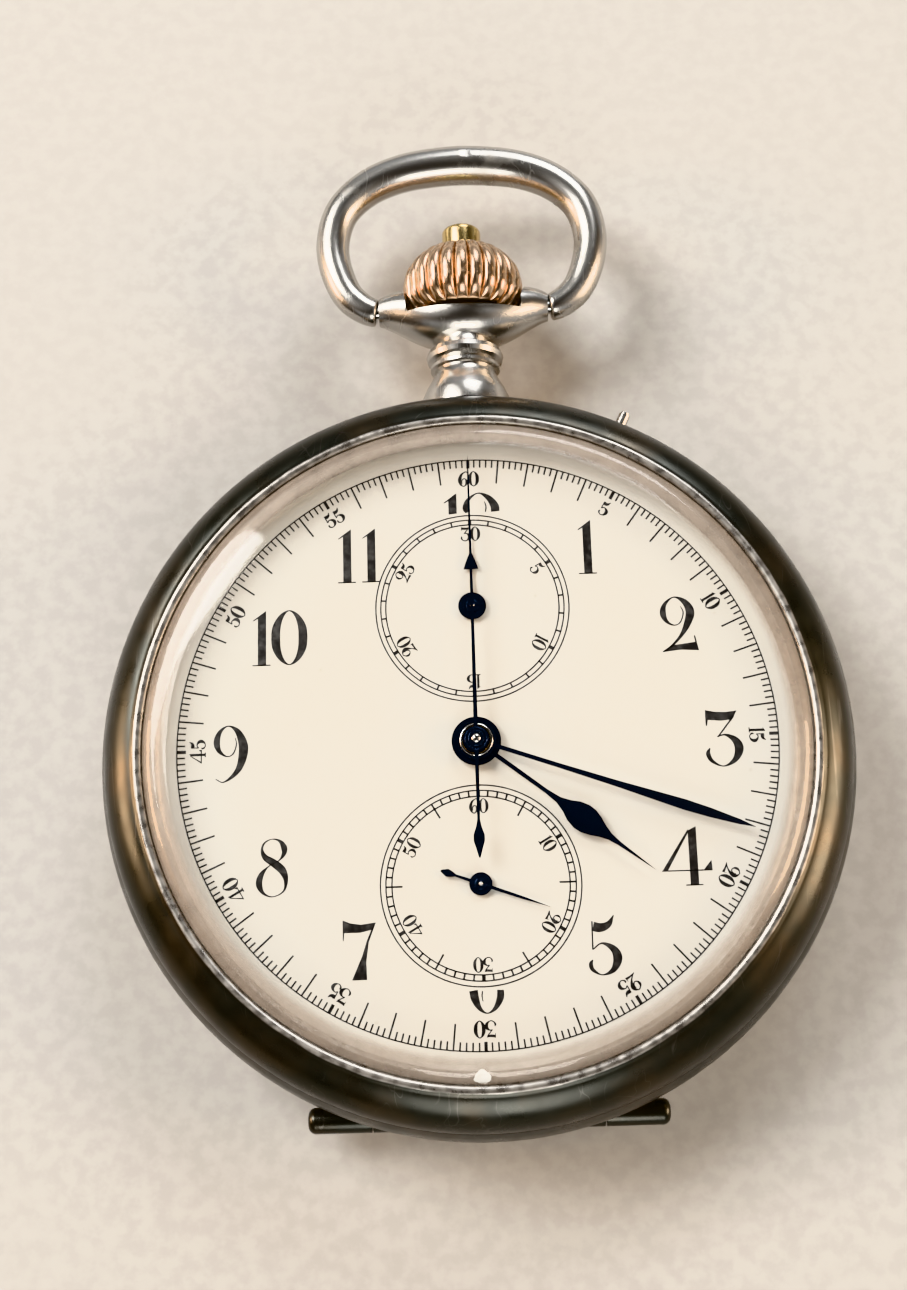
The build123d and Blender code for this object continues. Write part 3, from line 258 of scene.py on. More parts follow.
def turned(
    section: Grid,
    axis: Axis,
    turns: int,
    closed: bool,
    ripple: Grid | None = None,
    centre: Point = (0.0, 0.0),
) -> Surface:
    """A turned surface: radius times cosine and sine of the angle, height along the axis.

    Args:
        section: Radius and height of each point.
        axis: What it is turned about.
        turns: Steps round.
        closed: True if the section is a loop, False if it starts and ends on the axis.
        ripple: Radius added at each angle and section point, turns by points, or None.
        centre: Where the axis stands on the dial, for pieces turned about a dial axis.

    Returns:
        The surface, in place.
    """
    angle = np.arange(turns) * FULL_TURN / turns
    radius = np.broadcast_to(section[:, 0], (turns, len(section)))
    if ripple is not None:
        radius = radius + ripple
    height = np.broadcast_to(section[:, 1], radius.shape)
    across, along = radius * np.cos(angle)[:, None], radius * np.sin(angle)[:, None]
    if axis is Axis.DIAL:
        grid = np.stack([across + centre[0], along + centre[1], height], -1)
    else:
        grid = np.stack([along, height, across + CROWN_AXIS_Z], -1)
    made = Surface()
    made.add_grid(grid, True, closed)
    return made


# ---------------------------------------------------------------- finishes


class Graph:
    """A material's nodes, added and joined in few words."""

    def __init__(self, name: str) -> None:
        """Starts an empty material of this name.

        Args:
            name: The material's name.
        """
        self.material = bpy.data.materials.new(name)
        self.material.use_nodes = True
        self.tree = self.material.node_tree
        self.tree.nodes.clear()
        self.where = self.tree.nodes.new("ShaderNodeTexCoord").outputs["Object"]

    def node(
        self, kind: str, inputs: dict[str | int, object] | None = None, **settings: object
    ) -> bpy.types.Node:
        """Adds a node; an input given a socket is linked, and any other value is set.

        Args:
            kind: Blender's name of the node type.
            inputs: Values or sockets by input name or number.
            settings: Properties of the node.

        Returns:
            The node.
        """
        made = self.tree.nodes.new(kind)
        for key, value in settings.items():
            setattr(made, key, value)
        for key, value in (inputs or {}).items():
            if isinstance(value, bpy.types.NodeSocket):
                self.tree.links.new(value, made.inputs[key])
            else:
                made.inputs[key].default_value = value
        return made

    def stretched(self, scale: tuple[float, float, float], turn: float = 0.0) -> Socket:
        """The object's coordinates, turned about the dial's axis and stretched.

        Args:
            scale: How far each axis is stretched.
            turn: The turn about the dial's axis, in radians.

        Returns:
            The coordinates.
        """
        return self.node(
            "ShaderNodeMapping", {"Vector": self.where, "Scale": scale, "Rotation": (0.0, 0.0, turn)}
        ).outputs[0]

    def noise(self, per_mm: float, detail: float = 4.0, vector: Socket | None = None) -> Socket:
        """Cloudy noise with this many lumps a millimetre, about a half on average.

        Args:
            per_mm: Lumps or lines a millimetre.
            detail: How many finer layers are added.
            vector: Where the pattern is read, or None for the object's coordinates.

        Returns:
            The noise, from 0 to 1.
        """
        inputs = {"Vector": vector or self.where, "Scale": per_mm / MM, "Detail": detail}
        return self.node("ShaderNodeTexNoise", inputs).outputs["Fac"]

    def between(
        self, value: Socket, low: float, high: float, to_low: float = 0.0, to_high: float = 1.0
    ) -> Socket:
        """Value carried from low..high to to_low..to_high with soft ends, and held there outside.

        Args:
            value: The value to carry over.
            low: The value where the range begins.
            high: The value where the range ends.
            to_low: What low becomes.
            to_high: What high becomes.

        Returns:
            The carried value.
        """
        inputs = {"Value": value, "From Min": low, "From Max": high, "To Min": to_low, "To Max": to_high}
        return self.node("ShaderNodeMapRange", inputs, interpolation_type="SMOOTHSTEP").outputs[0]

    def math(self, operation: str, first: object, second: object = 0.0) -> Socket:
        """One step of arithmetic on two values or sockets.

        Args:
            operation: The step's name.
            first: The first value, colour or socket.
            second: The second value, colour or socket.

        Returns:
            The result.
        """
        return self.node("ShaderNodeMath", {0: first, 1: second}, operation=operation).outputs[0]

    def colour(self, share: Socket, first: object, second: object) -> Socket:
        """Colour that goes from first to second as share goes from 0 to 1.

        Args:
            share: How far the colour has gone from first to second.
            first: The first value, colour or socket.
            second: The second value, colour or socket.

        Returns:
            The colour.
        """
        made = self.node("ShaderNodeMix", data_type="RGBA")
        for socket, value in ((made.inputs[0], share), (made.inputs[6], first), (made.inputs[7], second)):
            if isinstance(value, bpy.types.NodeSocket):
                self.tree.links.new(value, socket)
            else:
                socket.default_value = (*value, 1.0)
        return made.outputs[2]

    def radius(self) -> Socket:
        """Distance from the dial's axis, in millimetres.

        Returns:
            The distance.
        """
        parts = self.node("ShaderNodeSeparateXYZ", {0: self.where}).outputs
        squares = self.math(
            "ADD", self.math("MULTIPLY", parts[0], parts[0]), self.math("MULTIPLY", parts[1], parts[1])
        )
        return self.math("MULTIPLY", self.math("SQRT", squares), 1 / MM)

    def near(self, spot: tuple[float, float, float]) -> Socket:
        """Distance from a spot given in millimetres, in millimetres.

        Args:
            spot: The place, in millimetres.

        Returns:
            The distance.
        """
        there = tuple(c * MM for c in spot)
        gap = self.node(
            "ShaderNodeVectorMath", {0: self.where, 1: there}, operation="DISTANCE"
        ).outputs["Value"]
        return self.math("MULTIPLY", gap, 1 / MM)

    def scratches(self, per_mm: float, turn: float) -> Socket:
        """Fine lines: noise drawn out ninety times one way, of which only a narrow level shows.

        Args:
            per_mm: Lumps or lines a millimetre.
            turn: The turn about the dial's axis, in radians.

        Returns:
            The lines, 1 on a line and 0 beside it.
        """
        drawn = self.noise(per_mm, 2.0, self.stretched((1.0, 1 / 90, 1.0), turn))
        level = self.math("ABSOLUTE", self.math("SUBTRACT", drawn, 0.5))
        broken = self.between(self.noise(0.35, 2.0), 0.45, 0.62)
        return self.math("MULTIPLY", self.between(level, 0.0, 0.006, 1.0, 0.0), broken)

    def bump(self, height: Socket, depth_mm: float, strength: float = 1.0) -> Socket:
        """The surface's normal, tilted by a height pattern of this depth.

        Args:
            height: The height pattern.
            depth_mm: How deep the pattern is, in millimetres.
            strength: How much of the tilt is used.

        Returns:
            The normal.
        """
        return self.node(
            "ShaderNodeBump", {"Height": height, "Distance": depth_mm * MM, "Strength": strength}
        ).outputs[0]

    def done(self, shader: Socket) -> bpy.types.Material:
        """Joins the shader to the output and gives the material.

        Args:
            shader: The shader's output.

        Returns:
            The finished material.
        """
        self.node("ShaderNodeOutputMaterial", {0: shader})
        return self.material


@dataclass(frozen=True)
class WornMetal:
    """Bare metal with tarnish clouds, fine wear lines in two directions and a slightly uneven polish."""

    name: str
    bright: Colour
    tarnish: Colour
    rough: tuple[float, float] = (0.12, 0.3)
    clouds_per_mm: float = 0.35
    tarnish_share: float = 0.5
    line_depth: float = 0.0012
    grain_per_mm: float = 6.0
    grain_depth: float = 0.0008
    metallic: float = 1.0

    def make(self) -> bpy.types.Material:
        """Clouds mix the two colours and the two roughnesses; lines and grain tilt the surface.

        Returns:
            The finished material.
        """
        g = Graph(self.name)
        clouds = g.between(
            g.noise(self.clouds_per_mm, 6.0),
            0.62 - 0.3 * self.tarnish_share,
            0.95 - 0.35 * self.tarnish_share,
        )
        grain = g.noise(self.grain_per_mm, 3.0)
        lines = g.math("MAXIMUM", g.scratches(0.5, 0.4), g.scratches(0.4, 1.9))
        tint = g.colour(
            g.math("MULTIPLY", clouds, g.between(grain, 0.2, 0.7, 0.6, 1.0)), self.bright, self.tarnish
        )
        rough = g.math("ADD", g.between(clouds, 0, 1, *self.rough), g.math("MULTIPLY", lines, 0.06))
        height = g.math(
            "SUBTRACT",
            g.math("MULTIPLY", grain, self.grain_depth / self.line_depth),
            g.math("MULTIPLY", lines, 1.0),
        )
        shader = g.node(
            "ShaderNodeBsdfPrincipled",
            {
                "Base Color": tint,
                "Metallic": self.metallic,
                "Roughness": rough,
                "Normal": g.bump(height, self.line_depth),
            },
        )
        return g.done(shader.outputs[0])


@dataclass(frozen=True)
class OxidisedSteel:
    """Gun-metal dark case steel with a brown cast, rubbed bright inside an optional worn lip."""

    name: str
    dark: Colour = (0.034, 0.035, 0.031)
    brown: Colour = (0.052, 0.044, 0.034)
    worn: Colour = (0.36, 0.342, 0.318)
    worn_inside: float = 0.0

    def make(self) -> bpy.types.Material:
        """Dark and brown clouds; inside the worn radius bare silver shows.

        Returns:
            The finished material.
        """
        g = Graph(self.name)
        clouds = g.between(g.noise(0.16, 7.0), 0.42, 0.68)
        grain = g.noise(9.0, 3.0)
        lines = g.math("MAXIMUM", g.scratches(0.4, 0.9), g.scratches(0.3, 2.4))
        tint = g.colour(clouds, self.dark, self.brown)
        tint = g.colour(g.math("MULTIPLY", lines, 0.10), tint, self.worn)
        rough = g.between(g.noise(0.5, 5.0), 0.3, 0.7, 0.26, 0.36)
        if self.worn_inside:
            uneven = g.math("MULTIPLY", g.math("SUBTRACT", g.noise(0.35, 4.0), 0.5), 0.22)
            rubbed = g.between(
                g.math("ADD", g.radius(), uneven),
                self.worn_inside - 0.03,
                self.worn_inside + 0.12,
                1.0,
                0.0,
            )
            streaks = g.between(g.noise(1.6, 6.0), 0.35, 0.7)
            bare = g.colour(streaks, self.worn, (0.23, 0.215, 0.20))
            tint = g.colour(rubbed, tint, bare)
            rough = g.math("ADD", g.math("MULTIPLY", rubbed, g.between(streaks, 0, 1, 0.06, -0.04)), rough)
        height = g.math("SUBTRACT", grain, lines)
        shader = g.node(
            "ShaderNodeBsdfPrincipled",
            {"Base Color": tint, "Metallic": 0.9, "Roughness": rough, "Normal": g.bump(height, 0.0006)},
        )
        return g.done(shader.outputs[0])


@dataclass(frozen=True)
class GrainedPlate:
    """Movement plate metal: fine stippled grain, soft stripes on request, and faint oil stains."""

    name: str
    tint: Colour
    shade: Colour
    rough: tuple[float, float] = (0.28, 0.42)
    stripes_per_mm: float = 0.0

    def make(self) -> bpy.types.Material:
        """Stipple tilts the surface, stripes swing the roughness, clouds mix the two colours.

        Returns:
            The finished material.
        """
        g = Graph(self.name)
        stipple = g.noise(22.0, 2.0)
        stains = g.between(g.noise(0.3, 5.0), 0.45, 0.75)
        rough = g.between(stipple, 0.3, 0.7, *self.rough)
        tint = g.colour(stains, self.tint, self.shade)
        height = stipple
        if self.stripes_per_mm:
            wave = g.node(
                "ShaderNodeTexWave",
                {
                    "Vector": g.stretched((1.0, 1.0, 1.0), 0.6),
                    "Scale": self.stripes_per_mm / MM / FULL_TURN,
                    "Distortion": 0.0,
                },
                wave_profile="SAW",
            ).outputs["Fac"]
            height = g.math("ADD", height, g.math("MULTIPLY", wave, 2.0))
            tint = g.colour(g.math("MULTIPLY", wave, 0.25), tint, self.shade)
        shader = g.node(
            "ShaderNodeBsdfPrincipled",
            {"Base Color": tint, "Metallic": 1.0, "Roughness": rough, "Normal": g.bump(height, 0.004)},
        )
        return g.done(shader.outputs[0])


@dataclass(frozen=True)
class DialEnamel:
    """Cream-white fired enamel: glossy, faintly mottled, with a few grey specks and a soft wavy surface."""

    name: str
    cream: Colour = (0.58, 0.572, 0.54)
    cool: Colour = (0.565, 0.562, 0.54)

    def make(self) -> bpy.types.Material:
        """Slow clouds mix the two whites; sparse small cells darken to specks; slow waves tilt the gloss.

        Returns:
            The finished material.
        """
        g = Graph(self.name)
        clouds = g.between(g.noise(0.08, 4.0), 0.35, 0.65)
        fine = g.noise(1.2, 5.0)
        white = g.colour(clouds, self.cream, self.cool)
        cells = g.node("ShaderNodeTexVoronoi", {"Vector": g.where, "Scale": 0.33 / MM, "Randomness": 1.0})
        speck = g.between(cells.outputs["Distance"], 0.022, 0.06, 0.5, 0.0)
        white = g.colour(speck, white, (0.42, 0.40, 0.36))
        white = g.colour(g.between(fine, 0.45, 0.8, 0.0, 0.10), white, (0.56, 0.53, 0.47))
        rough = g.between(g.noise(0.6, 3.0), 0.3, 0.7, 0.16, 0.24)
        shader = g.node(
            "ShaderNodeBsdfPrincipled",
            {
                "Base Color": white,
                "Roughness": rough,
                "Coat Weight": 0.5,
                "Coat Roughness": 0.06,
                "Normal": g.bump(fine, 0.0006),
            },
        )
        return g.done(shader.outputs[0])


@dataclass(frozen=True)
class DialInk:
    """Fired black paint of the dial's figures, slightly uneven."""

    name: str

    def make(self) -> bpy.types.Material:
        """Near-black that lifts a little in fine clouds.

        Returns:
            The finished material.
        """
        g = Graph(self.name)
        fine = g.noise(2.5, 5.0)
        tint = g.colour(g.between(fine, 0.4, 0.75), (0.010, 0.010, 0.011), (0.034, 0.034, 0.036))
        rough = g.between(fine, 0.3, 0.7, 0.28, 0.44)
        shader = g.node(
            "ShaderNodeBsdfPrincipled",
            {"Base Color": tint, "Roughness": rough, "Normal": g.bump(fine, 0.002)},
        )
        return g.done(shader.outputs[0])


@dataclass(frozen=True)
class WatchGlass:
    """Clear domed glass with a painted grey-brown reflection band at its bevelled edge and a frosted chip at
    its rim.
    """

    name: str
    edge_from: float = 20.95
    edge_to: float = 21.7
    chip: tuple[float, float, float] = (-0.25, -22.35, 12.1)
    chip_size: float = 0.62

    def make(self) -> bpy.types.Material:
        """Clear seen straight, more of a mirror seen flat, a painted grey-brown reflection band at the
        bevelled edge, and white at the chip.

        Returns:
            The finished material.
        """
        g = Graph(self.name)
        waves = g.noise(0.12, 2.0)
        smooth_normal = g.bump(waves, 0.01, 0.3)
        facing = g.node("ShaderNodeLayerWeight", {"Blend": 0.5, "Normal": smooth_normal}).outputs["Facing"]
        fresnel = g.math("ADD", g.math("MULTIPLY", g.math("POWER", facing, 5.0), 0.80), 0.035)
        clear = g.node("ShaderNodeBsdfTransparent", {"Color": (0.995, 0.99, 0.98, 1.0)}).outputs[0]
        mirror = g.node(
            "ShaderNodeBsdfAnisotropic", {"Color": (1, 1, 1, 1), "Roughness": 0.04, "Normal": smooth_normal}
        ).outputs[0]
        glass = g.node("ShaderNodeMixShader", {0: fresnel, 1: clear, 2: mirror}).outputs[0]
        # painted reflection: at the bevel's radii a partly opaque grey-brown shader stands in for the light
        # that the bevel refracts and reflects
        edge = g.math(
            "MULTIPLY",
            g.between(g.radius(), self.edge_from, self.edge_to),
            g.between(g.noise(0.5, 4.0), 0.3, 0.7, 0.36, 0.50),
        )
        painted_bevel_reflection = g.node(
            "ShaderNodeBsdfPrincipled", {
                "Base Color": (0.30, 0.255, 0.215, 1.0), "Metallic": 0.25, "Roughness": 0.42
            }
        ).outputs[0]
        glass = g.node("ShaderNodeMixShader", {0: edge, 1: glass, 2: painted_bevel_reflection}).outputs[0]
        distance = g.math(
            "ADD", g.near(self.chip), g.math("MULTIPLY", g.math("SUBTRACT", g.noise(3.0, 4.0), 0.5), 0.3)
        )
        broken = g.between(distance, self.chip_size - 0.08, self.chip_size, 0.85, 0.0)
        shells = g.node(
            "ShaderNodeTexWave",
            {"Vector": g.where, "Scale": 1.1 / MM, "Distortion": 2.0},
            wave_type="RINGS",
        )
        frosted = g.node(
            "ShaderNodeBsdfPrincipled",
            {
                "Base Color": (0.82, 0.84, 0.83, 1.0),
                "Roughness": 0.35,
                "Normal": g.bump(shells.outputs["Fac"], 0.06),
            },
        ).outputs[0]
        return g.done(g.node("ShaderNodeMixShader", {0: broken, 1: glass, 2: frosted}).outputs[0])


@dataclass(frozen=True)
class Ruby:
    """Polished synthetic ruby of the bearing stones."""

    name: str

    def make(self) -> bpy.types.Material:
        """Deep red with paler clouds under a clear gloss.

        Returns:
            The finished material.
        """
        g = Graph(self.name)
        clouds = g.noise(2.0, 3.0)
        tint = g.colour(g.between(clouds, 0.35, 0.7), (0.42, 0.015, 0.05), (0.70, 0.08, 0.16))
        rough = g.between(clouds, 0.3, 0.7, 0.05, 0.12)
        return g.done(
            g.node(
                "ShaderNodeBsdfPrincipled", {"Base Color": tint, "Roughness": rough, "Coat Weight": 0.6}
            ).outputs[0]
        )


@dataclass(frozen=True)
class PaleFloor:
    """A plain pale tabletop with a very faint tooth."""

    name: str

    def make(self) -> bpy.types.Material:
        """Warm light grey, matt.

        Returns:
            The finished material.
        """
        g = Graph(self.name)
        tooth = g.noise(0.8, 5.0)
        tint = g.colour(g.between(tooth, 0.35, 0.65), (0.30, 0.293, 0.28), (0.335, 0.328, 0.313))
        shader = g.node(
            "ShaderNodeBsdfPrincipled",
            {"Base Color": tint, "Roughness": 0.7, "Normal": g.bump(tooth, 0.01)},
        )
        return g.done(shader.outputs[0])


class Finishes:
    """Every material of the watch, made once."""

    def __init__(self) -> None:
        """Makes the materials."""
        self.case = OxidisedSteel("oxidised_case").make()
        self.bezel = OxidisedSteel("oxidised_bezel_worn_lip", worn_inside=23.42).make()
        self.silver = WornMetal(
            "worn_silver", (0.47, 0.455, 0.43), (0.20, 0.18, 0.155), (0.24, 0.40), 0.3, 0.45
        ).make()
        self.crown = WornMetal(
            "rose_gold", (0.58, 0.415, 0.29), (0.33, 0.21, 0.125), (0.24, 0.36), 0.6, 0.4
        ).make()
        self.button = WornMetal(
            "yellow_gold", (0.62, 0.47, 0.23), (0.36, 0.26, 0.12), (0.20, 0.34), 0.8, 0.5
        ).make()
        self.enamel = DialEnamel("dial_enamel").make()
        self.ink = DialInk("dial_ink").make()
        self.glass = WatchGlass("watch_glass").make()
        self.blued = WornMetal(
            "blued_steel", (0.012, 0.020, 0.042), (0.006, 0.009, 0.018), (
                0.14, 0.26
            ), 0.8, 0.5, metallic=0.85, line_depth=0.002
        ).make()
        self.steel = WornMetal(
            "movement_steel",
            (0.56, 0.56, 0.56),
            (0.36, 0.35, 0.34),
            (0.14, 0.28),
            0.8,
            0.35,
            line_depth=0.002,
        ).make()
        self.gilt = GrainedPlate("gilt_brass", (0.80, 0.60, 0.30), (0.56, 0.38, 0.17)).make()
        self.nickel = GrainedPlate(
            "striped_nickel", (0.66, 0.64, 0.60), (0.46, 0.44, 0.40), stripes_per_mm=0.45
        ).make()
        self.plate = GrainedPlate("frosted_mainplate", (0.70, 0.66, 0.58), (0.50, 0.45, 0.36)).make()
        self.cuvette = WornMetal(
            "cuvette_metal", (0.55, 0.54, 0.50), (0.34, 0.31, 0.27), (0.18, 0.34), 0.15, 0.5
        ).make()
        self.ruby = Ruby("bearing_ruby").make()
        self.floor = PaleFloor("pale_tabletop").make()


# ---------------------------------------------------------------- case


@dataclass
class Bezel:
    """Snapped ring that holds the glass: dark outside, rubbed bright at the lip and the inner slope."""

    outer: float = 26.03
    turns: int = 288

    def section(self) -> Grid:
        """Radius and height round the ring's section, corners eased by small arcs.

        Returns:
            The outline, one row of radius and height for each point.
        """
        return outline(
            straight((24.3, 9.17), (25.95, 9.17), 4),
            arc((25.95, 9.17), (26.01, 9.2), (self.outer, 9.27), 3),
            arc((self.outer, 9.27), (25.27, 10.85), (23.62, 11.9), 22),
            arc((23.62, 11.9), (23.33, 12.04), (23.04, 11.96), 9),
            arc((23.04, 11.96), (22.97, 11.9), (22.95, 11.8), 4),
            straight((22.95, 11.8), (22.95, 11.37), 4),
            straight((22.95, 11.37), (22.35, 11.35), 3),
            straight((22.35, 11.35), (22.02, 10.6), 5),
            straight((22.02, 10.6), (22.02, 10.32), 3),
            straight((22.02, 10.32), (24.3, 10.32), 4),
            straight((24.3, 10.32), (24.3, 9.17), 3),
        )

    def build(self, finishes: Finishes) -> None:
        """Turns the ring and lets it stand for the CAD bezel.

        Args:
            finishes: The watch's materials.
        """
        section = self.section()
        made = turned(section[:-1], Axis.DIAL, self.turns, True).piece(
            "bezel_ring", "case", finishes.bezel, "dark_case_steel", 30
        )
        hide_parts("bezel")


@dataclass
class Crystal:
    """Domed glass with a bevelled edge and a shell-shaped chip at 6 o'clock."""

    chip_angle: float = -90.6
    chip_depth: float = 0.28
    chip_width_deg: float = 1.1
    turns: int = 360

    def section(self) -> Grid:
        """Radius and height from the underside's pole round the rim to the top's pole.

        Returns:
            The outline, one row of radius and height for each point.
        """
        return outline(
            arc((0.0, 12.5), (10.5, 12.374), (20.9, 12.0), 24),
            arc((20.9, 12.0), (21.8, 11.78), (22.3, 11.4), 8),
            straight((22.3, 11.4), (22.83, 11.4), 4),
            arc((22.83, 11.4), (22.88, 11.5), (22.88, 11.72), 4),
            arc((22.88, 11.72), (22.6, 12.2), (21.9, 12.55), 12),
            arc((21.9, 12.55), (11.0, 13.565), (0.0, 13.9), 34),
        )

    def build(self, finishes: Finishes) -> None:
        """Turns the dome, then sinks its rim where the chip broke out.

        Args:
            finishes: The watch's materials.
        """
        section = self.section()
        angle = np.degrees(np.arange(self.turns) * FULL_TURN / self.turns)
        off = (angle - self.chip_angle + 180) % 360 - 180
        across = np.exp(-((off / self.chip_width_deg) ** 2))[:, None]
        along = np.exp(-(((section[:, 0] - 22.6) / 0.35) ** 2))[None, :] * (section[:, 1] > 11.75)
        dent = -self.chip_depth * across * along
        made = turned(section, Axis.DIAL, self.turns, False, dent).piece(
            "watch_crystal", "case", finishes.glass, "crystal", 25
        )
        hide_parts("crystal")


# ---------------------------------------------------------------- pendant, bow, crown


@dataclass
class Bow:
    """Oval ring: a round bar whose thickness swells towards the top, with a small pit there."""

    stations: tuple[tuple[float, float, float, float], ...] = (
        (6.55, 34.35, 8.0, 1.04),
        (8.25, 35.3, 42.0, 1.16),
        (9.5, 37.55, 72.0, 1.24),
        (9.87, 40.6, 97.0, 1.28),
        (8.8, 43.5, 129.0, 1.34),
        (6.25, 45.5, 155.0, 1.41),
        (3.2, 46.4, 172.0, 1.47),
        (0.0, 46.65, 180.0, 1.5),
    )
    round_steps: int = 48
    per_span: int = 12

    def centreline(self) -> Grid:
        """Hermite spans between stations, each slope as long as its chord; x, y, thickness and heading.

        Returns:
            The points, one row each.
        """
        half = np.array(self.stations)
        other = half[-2::-1] * [-1, 1, 1, 1]
        other[:, 2] = 360.0 - half[-2::-1, 2]
        rows = np.concatenate([half, other])
        place, heading = rows[:, :2], np.radians(rows[:, 2])
        chord = np.linalg.norm(np.diff(place, axis=0), axis=1)[:, None, None]
        slope = np.stack([np.cos(heading), np.sin(heading)], 1)
        t = np.linspace(0, 1, self.per_span, endpoint=False)[None, :, None]
        a, b = place[:-1, None], place[1:, None]
        m, n = slope[:-1, None] * chord, slope[1:, None] * chord
        line = (2 * t**3 - 3 * t**2 + 1) * a + (t**3 - 2 * t**2 + t) * m + (3 * t**2 - 2 * t**3) * b + (
            t**3 - t**2
        ) * n
        line = np.concatenate([line.reshape(-1, 2), place[-1:]])
        steps = np.arange(len(line)) / self.per_span
        thick = np.interp(steps, np.arange(len(rows)), rows[:, 3])
        return np.column_stack([line, thick])

    def build(self, finishes: Finishes) -> None:
        """Carries a circle along the centreline, rounds both ends and closes them.

        Args:
            finishes: The watch's materials.
        """
        line = self.centreline()
        slope = np.gradient(line[:, :2], axis=0)
        slope /= np.linalg.norm(slope, axis=1)[:, None]
        ease = np.array([0.0, 0.80, 0.93, 1.0])
        inset = np.array([0.0, 0.0, 0.05, 0.16])
        start = np.column_stack([line[0, :2] + slope[0] * inset[:, None], line[0, 2] * ease])
        finish = np.column_stack([line[-1, :2] - slope[-1] * inset[::-1, None], line[-1, 2] * ease[::-1]])
        rows = np.concatenate([start, line[2:-2], finish])
        along = np.concatenate([np.repeat(slope[:1], 4, 0), slope[2:-2], np.repeat(slope[-1:], 4, 0)])
        angle = np.arange(self.round_steps) * FULL_TURN / self.round_steps
        side = np.stack([-along[:, 1], along[:, 0]], 1)
        flat = rows[:, 2, None] * np.cos(angle)
        grid = np.stack(
            [
                rows[:, 0, None] + side[:, 0, None] * flat,
                rows[:, 1, None] + side[:, 1, None] * flat,
                CROWN_AXIS_Z + rows[:, 2, None] * np.sin(angle),
            ],
            -1,
        )
        pit = np.exp(
            -(((grid[..., 0] - 0.55) / 0.16) ** 2) - (((grid[..., 1] - 46.9) / 0.12) ** 2)
        ) * (grid[..., 2] > CROWN_AXIS_Z)
        grid[..., 2] -= 0.14 * pit
        made = Surface()
        made.add_grid(grid, False, True)
        piece = made.piece("bow_ring", "bow", finishes.silver, "silver", 40)
        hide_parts("bow")


@dataclass
class Crown:
    """Ribbed winding crown: 24 rounded ribs on a domed body, gaps cut to dark valleys."""

    ribs: int = 24
    steps_per_rib: int = 16
    gap_depth: float = 0.55

    def section(self) -> Grid:
        """Radius and height from the underside's bore to the dome's hole.

        Returns:
            The outline, one row of radius and height for each point.
        """
        return outline(
            straight((1.56, 34.6), (1.56, 33.85), 3),
            straight((1.56, 33.85), (3.4, 33.85), 5),
            arc((3.4, 33.85), (4.12, 34.35), (4.5, 35.6), 14),
            arc((4.5, 35.6), (4.42, 37.0), (3.6, 38.25), 14),
            arc((3.6, 38.25), (3.05, 38.72), (2.45, 38.88), 8),
            straight((2.45, 38.88), (1.56, 38.88), 4),
            straight((1.56, 38.88), (1.56, 34.6), 6),
        )

    def build(self, finishes: Finishes) -> None:
        """Turns the section with ribs: each is a superellipse bump across its own share of the turn.

        Args:
            finishes: The watch's materials.
        """
        section = self.section()[:-1]
        turns = self.ribs * self.steps_per_rib
        angle = np.arange(turns) / self.steps_per_rib
        across = np.abs(2 * ((angle + 0.5) % 1.0) - 1.0)[:, None]
        valley = 1.0 - np.sqrt(np.clip(1.0 - across**2.4, 0.0, 1.0))
        radius = section[:, 0]
        reach = np.clip((radius - 2.5) / 1.1, 0, 1) * np.clip((section[:, 1] - 33.8) / 0.3, 0, 1)
        ribbing = -self.gap_depth * valley * reach[None, :]
        made = turned(section, Axis.CROWN, turns, True, ribbing).piece(
            "ribbed_crown", "crown", finishes.crown, "crown_gold", 50
        )
        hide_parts("crown")


@dataclass
class PushButton:
    """Chronograph button through the crown: a short rod head with a domed, eased top."""

    radius: float = 1.5
    turns: int = 96

    def build(self, finishes: Finishes) -> None:
        """Turns the button's head and rod as one piece on the crown's axis.

        Args:
            finishes: The watch's materials.
        """
        r = self.radius
        section = outline(
            straight((0.0, 12.98), (0.42, 12.98), 3),
            straight((0.42, 12.98), (0.42, 38.02), 4),
            straight((0.42, 38.02), (r - 0.12, 38.02), 4),
            arc((r - 0.12, 38.02), (r - 0.03, 38.05), (r - 0.02, 38.15), 4),
            straight((r - 0.02, 38.15), (r - 0.02, 40.62), 5),
            arc((r - 0.02, 40.62), (r - 0.13, 40.93), (r - 0.42, 41.06), 8),
            arc((r - 0.42, 41.06), (r * 0.4, 41.17), (0.0, 41.2), 8),
        )
        made = turned(section, Axis.CROWN, self.turns, False).piece(
            "push_button", "button", finishes.button, "crown_gold", 35
        )
        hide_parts("chrono_button")


# ---------------------------------------------------------------- dial figures


@dataclass(frozen=True)
class Stroke:
    """A pen stroke: points of a smooth curve with a half width at each, in figure heights."""

    points: tuple[tuple[float, float, float], ...]
    closed: bool = False
    straight: bool = False


@dataclass(frozen=True)
class Patch:
    """A filled corner-to-corner shape, in figure heights."""

    points: tuple[Point, ...]


@dataclass(frozen=True)
class Figure:
    """One numeral: how far it moves the pen on, and its marks."""

    advance: float
    marks: tuple[Stroke | Patch, ...]


